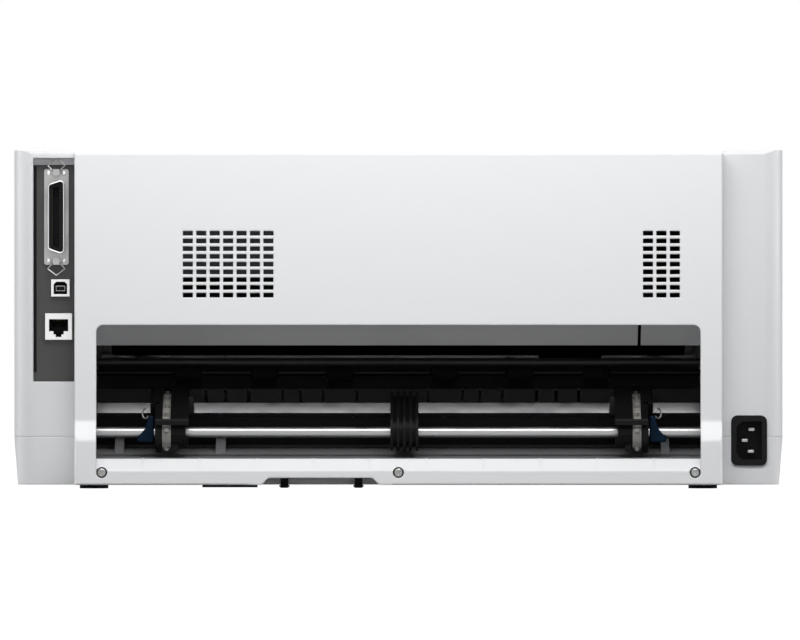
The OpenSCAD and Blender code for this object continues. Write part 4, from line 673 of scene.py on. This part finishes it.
# Paper feed: steel shaft with grooved rubber sleeves between collars
feed = {"shaft": 2.0, "shaftBevel": 0.3, "middle": 4.1, "places": (32.9, 80.5, 129),
        "roller": 6.5, "wide": 15.0, "edge": 0.4, "collar": 3.4, "collarWide": 1.0, "collarBevel": 0.2,
        "grooves": 4, "groove": 0.35, "grooveHalf": (0.45, 0.2), "grooveFrom": 1}


def rollerProfile(s, middle):
    # radius and place along the shaft; both ends are the same, the grooves are spread evenly between them
    far, collarEnd = s["wide"] / 2, s["wide"] / 2 + s["collarWide"]
    end = [(s["collar"] - s["edge"], collarEnd + s["collarBevel"]), (s["collar"], collarEnd),
           (s["collar"], far), (s["roller"] - s["edge"], far), (s["roller"], far - s["edge"])]
    step = 2 * (far - s["grooveFrom"]) / s["grooves"]
    top, floor = s["grooveHalf"]
    line = [(radius, middle - along) for radius, along in end]
    for k in range(s["grooves"]):
        at = middle + (k + 0.5 - s["grooves"] / 2) * step
        line += [(s["roller"], at - top), (s["roller"] - s["groove"], at - floor),
                 (s["roller"] - s["groove"], at + floor), (s["roller"], at + top)]
    return line + [(radius, middle + along) for radius, along in end[::-1]]


def feedPieces(s):
    low, high = span("feed_rollers")
    at = middleOf("feed_rollers") * (0, 1, 1)
    middles = [s["middle"] + side * place for side in (-1, 1) for place in s["places"]]
    sleeves = [turned(rollerProfile(s, x), at, 0, 32) for x in middles]
    piece("feedSleeves", join(*sleeves), "rubber", "feed_rollers", ("feed_rollers",))
    shaft = rod(s["shaft"], low[0], high[0], s["shaftBevel"])
    piece("feedShaft", turned(shaft, at), "blackSteel", "feed_rollers", ("feed_rollers",))


feedPieces(feed)

# Platen: rubber sleeve (radius and distance from the middle) on journals that differ at the two ends
platen = {"end": [(15.6, 182.75), (16.6, 182.4), (17.0, 181.8)], "around": 64,
          "journal": 5, "journalBevel": 0.4, "right": 182.2, "left": (-193.25, -182.05),
          "gearEnd": 4, "gearEndBevel": 0.3, "gearEndTo": -193.3}


def platenPieces(s):
    low, high = span("platen")
    at = middleOf("platen") * (0, 1, 1)
    sleeve = [(radius, -far) for radius, far in s["end"]] + s["end"][::-1]
    piece("platenRubber", turned(sleeve, at, 0, s["around"]), "rubber", "platen", ("platen",))
    journals = [turned(rod(s["journal"], start, end, s["journalBevel"]), at)
                for start, end in ((s["right"], high[0]), s["left"])]
    radius, bevel = s["gearEnd"], s["gearEndBevel"]
    gearEnd = turned([(radius - bevel, low[0]), (radius, low[0] + bevel), (radius, s["gearEndTo"])], at)
    piece("platenJournals", join(*journals, gearEnd), "steelTurned", "platen", ("platen",))


platenPieces(platen)
print("paper feed set")

# Tractors: x = 0 at the belt's middle and grows towards the nearer side frame. The foot, clip and lever
# are placed from the guide shaft, the cheek from the drive shaft
tractor = {"combs": 7, "combPitch": 1.5, "combThick": 0.75, "combFrom": -3.8, "combRadii": (10.3, 8.3),
           "combArc": (-118, 8, 10), "foot": ((-7.2, -3, -12.1), (-3.6, 6, -6.8)), "footEdge": 0.5,
           "cheek": ((-16.8, 9, -3.4), (-13.6, 21, 9.1)), "cheekEdge": 1.8,
           "clip": (1.922, -1.55, 3.1), "clipArc": (-150, 150, 21), "clipAt": (13.4, -4.5, 11.6),
           "clipWire": 0.55, "clipNormal": (0.628, 0.778, 0),
           "lever": [(7.9, 10.2), (11.2, 10.4), (13.6, 2.2), (18.3, -3.6), (18.4, -6.2), (7.9, -6.3)],
           "leverRound": 1.4, "leverHalf": 4, "leverEdge": 0.9}


def arcOf(start, end, count):
    return np.radians(np.linspace(start, end, count))


def onTractor(shape, side, middle):
    points, faces = shape
    return points * (side, 1, 1) + (middle, 0, 0), faces


def combShape(s, guide, drive):
    # a crescent round the belt's end, repeated across; the belt runs from the drive to the guide shaft
    down, along = drive[2] - guide[2], guide[1] - drive[1]
    reach, incline = math.hypot(along, down), math.atan2(down, along)
    outer, inner = s["combRadii"]
    angles = arcOf(*s["combArc"])
    places = [(outer, a) for a in angles] + [(inner, a) for a in angles[::-1]]
    crescent = []
    for radius, angle in places:
        forth, out = reach + radius * math.cos(angle), radius * math.sin(angle)
        crescent.append((drive[1] + forth * math.cos(incline) + out * math.sin(incline),
                         drive[2] - forth * math.sin(incline) + out * math.cos(incline)))
    starts = [s["combFrom"] - s["combPitch"] * k for k in range(s["combs"])]
    return join(*[prism(crescent, x - s["combThick"], x, 0) for x in starts])


def tractorPieces(s):
    guide = middleOf("tractor_guide_shaft") * (0, 1, 1)
    drive = middleOf("tractor_sprocket_right") * (0, 1, 1)
    comb = combShape(s, guide, drive)
    foot = block(*[guide + corner for corner in s["foot"]], s["footEdge"])
    cheek = block(*[drive + corner for corner in s["cheek"]], s["cheekEdge"])
    turn = arcOf(*s["clipArc"])
    swing = np.stack([np.cos(turn), np.cos(turn), np.sin(turn)], 1)
    clip = tube(swing * s["clip"] + guide + s["clipAt"], s["clipWire"], s["clipNormal"])
    outline = bent([(x, guide[2] + z) for x, z in s["lever"][::-1]], s["leverRound"], 4, closed=True)
    lever = prism(outline, guide[1] - s["leverHalf"], guide[1] + s["leverHalf"], 1, s["leverEdge"])
    for side, name in ((1, "right"), (-1, "left")):
        body, cover, lock = "tractor_" + name, "tractor_cover_" + name, "tractor_lever_" + name
        title, middle = name.title(), middleOf("tractor_belt_" + name)[0]
        piece("tractorComb" + title, onTractor(comb, side, middle), "combGrey", body)
        piece("tractorFoot" + title, onTractor(foot, side, middle), "tractorBlack", body)
        piece("tractorCheek" + title, onTractor(cheek, side, middle), "tractorBlack", cover)
        piece("tractorClip" + title, onTractor(clip, side, middle), "nickel", body)
        piece("lever" + title, onTractor(lever, side, middle), "leverBlue", lock, (lock,))


tractorPieces(tractor)
print("tractors set")
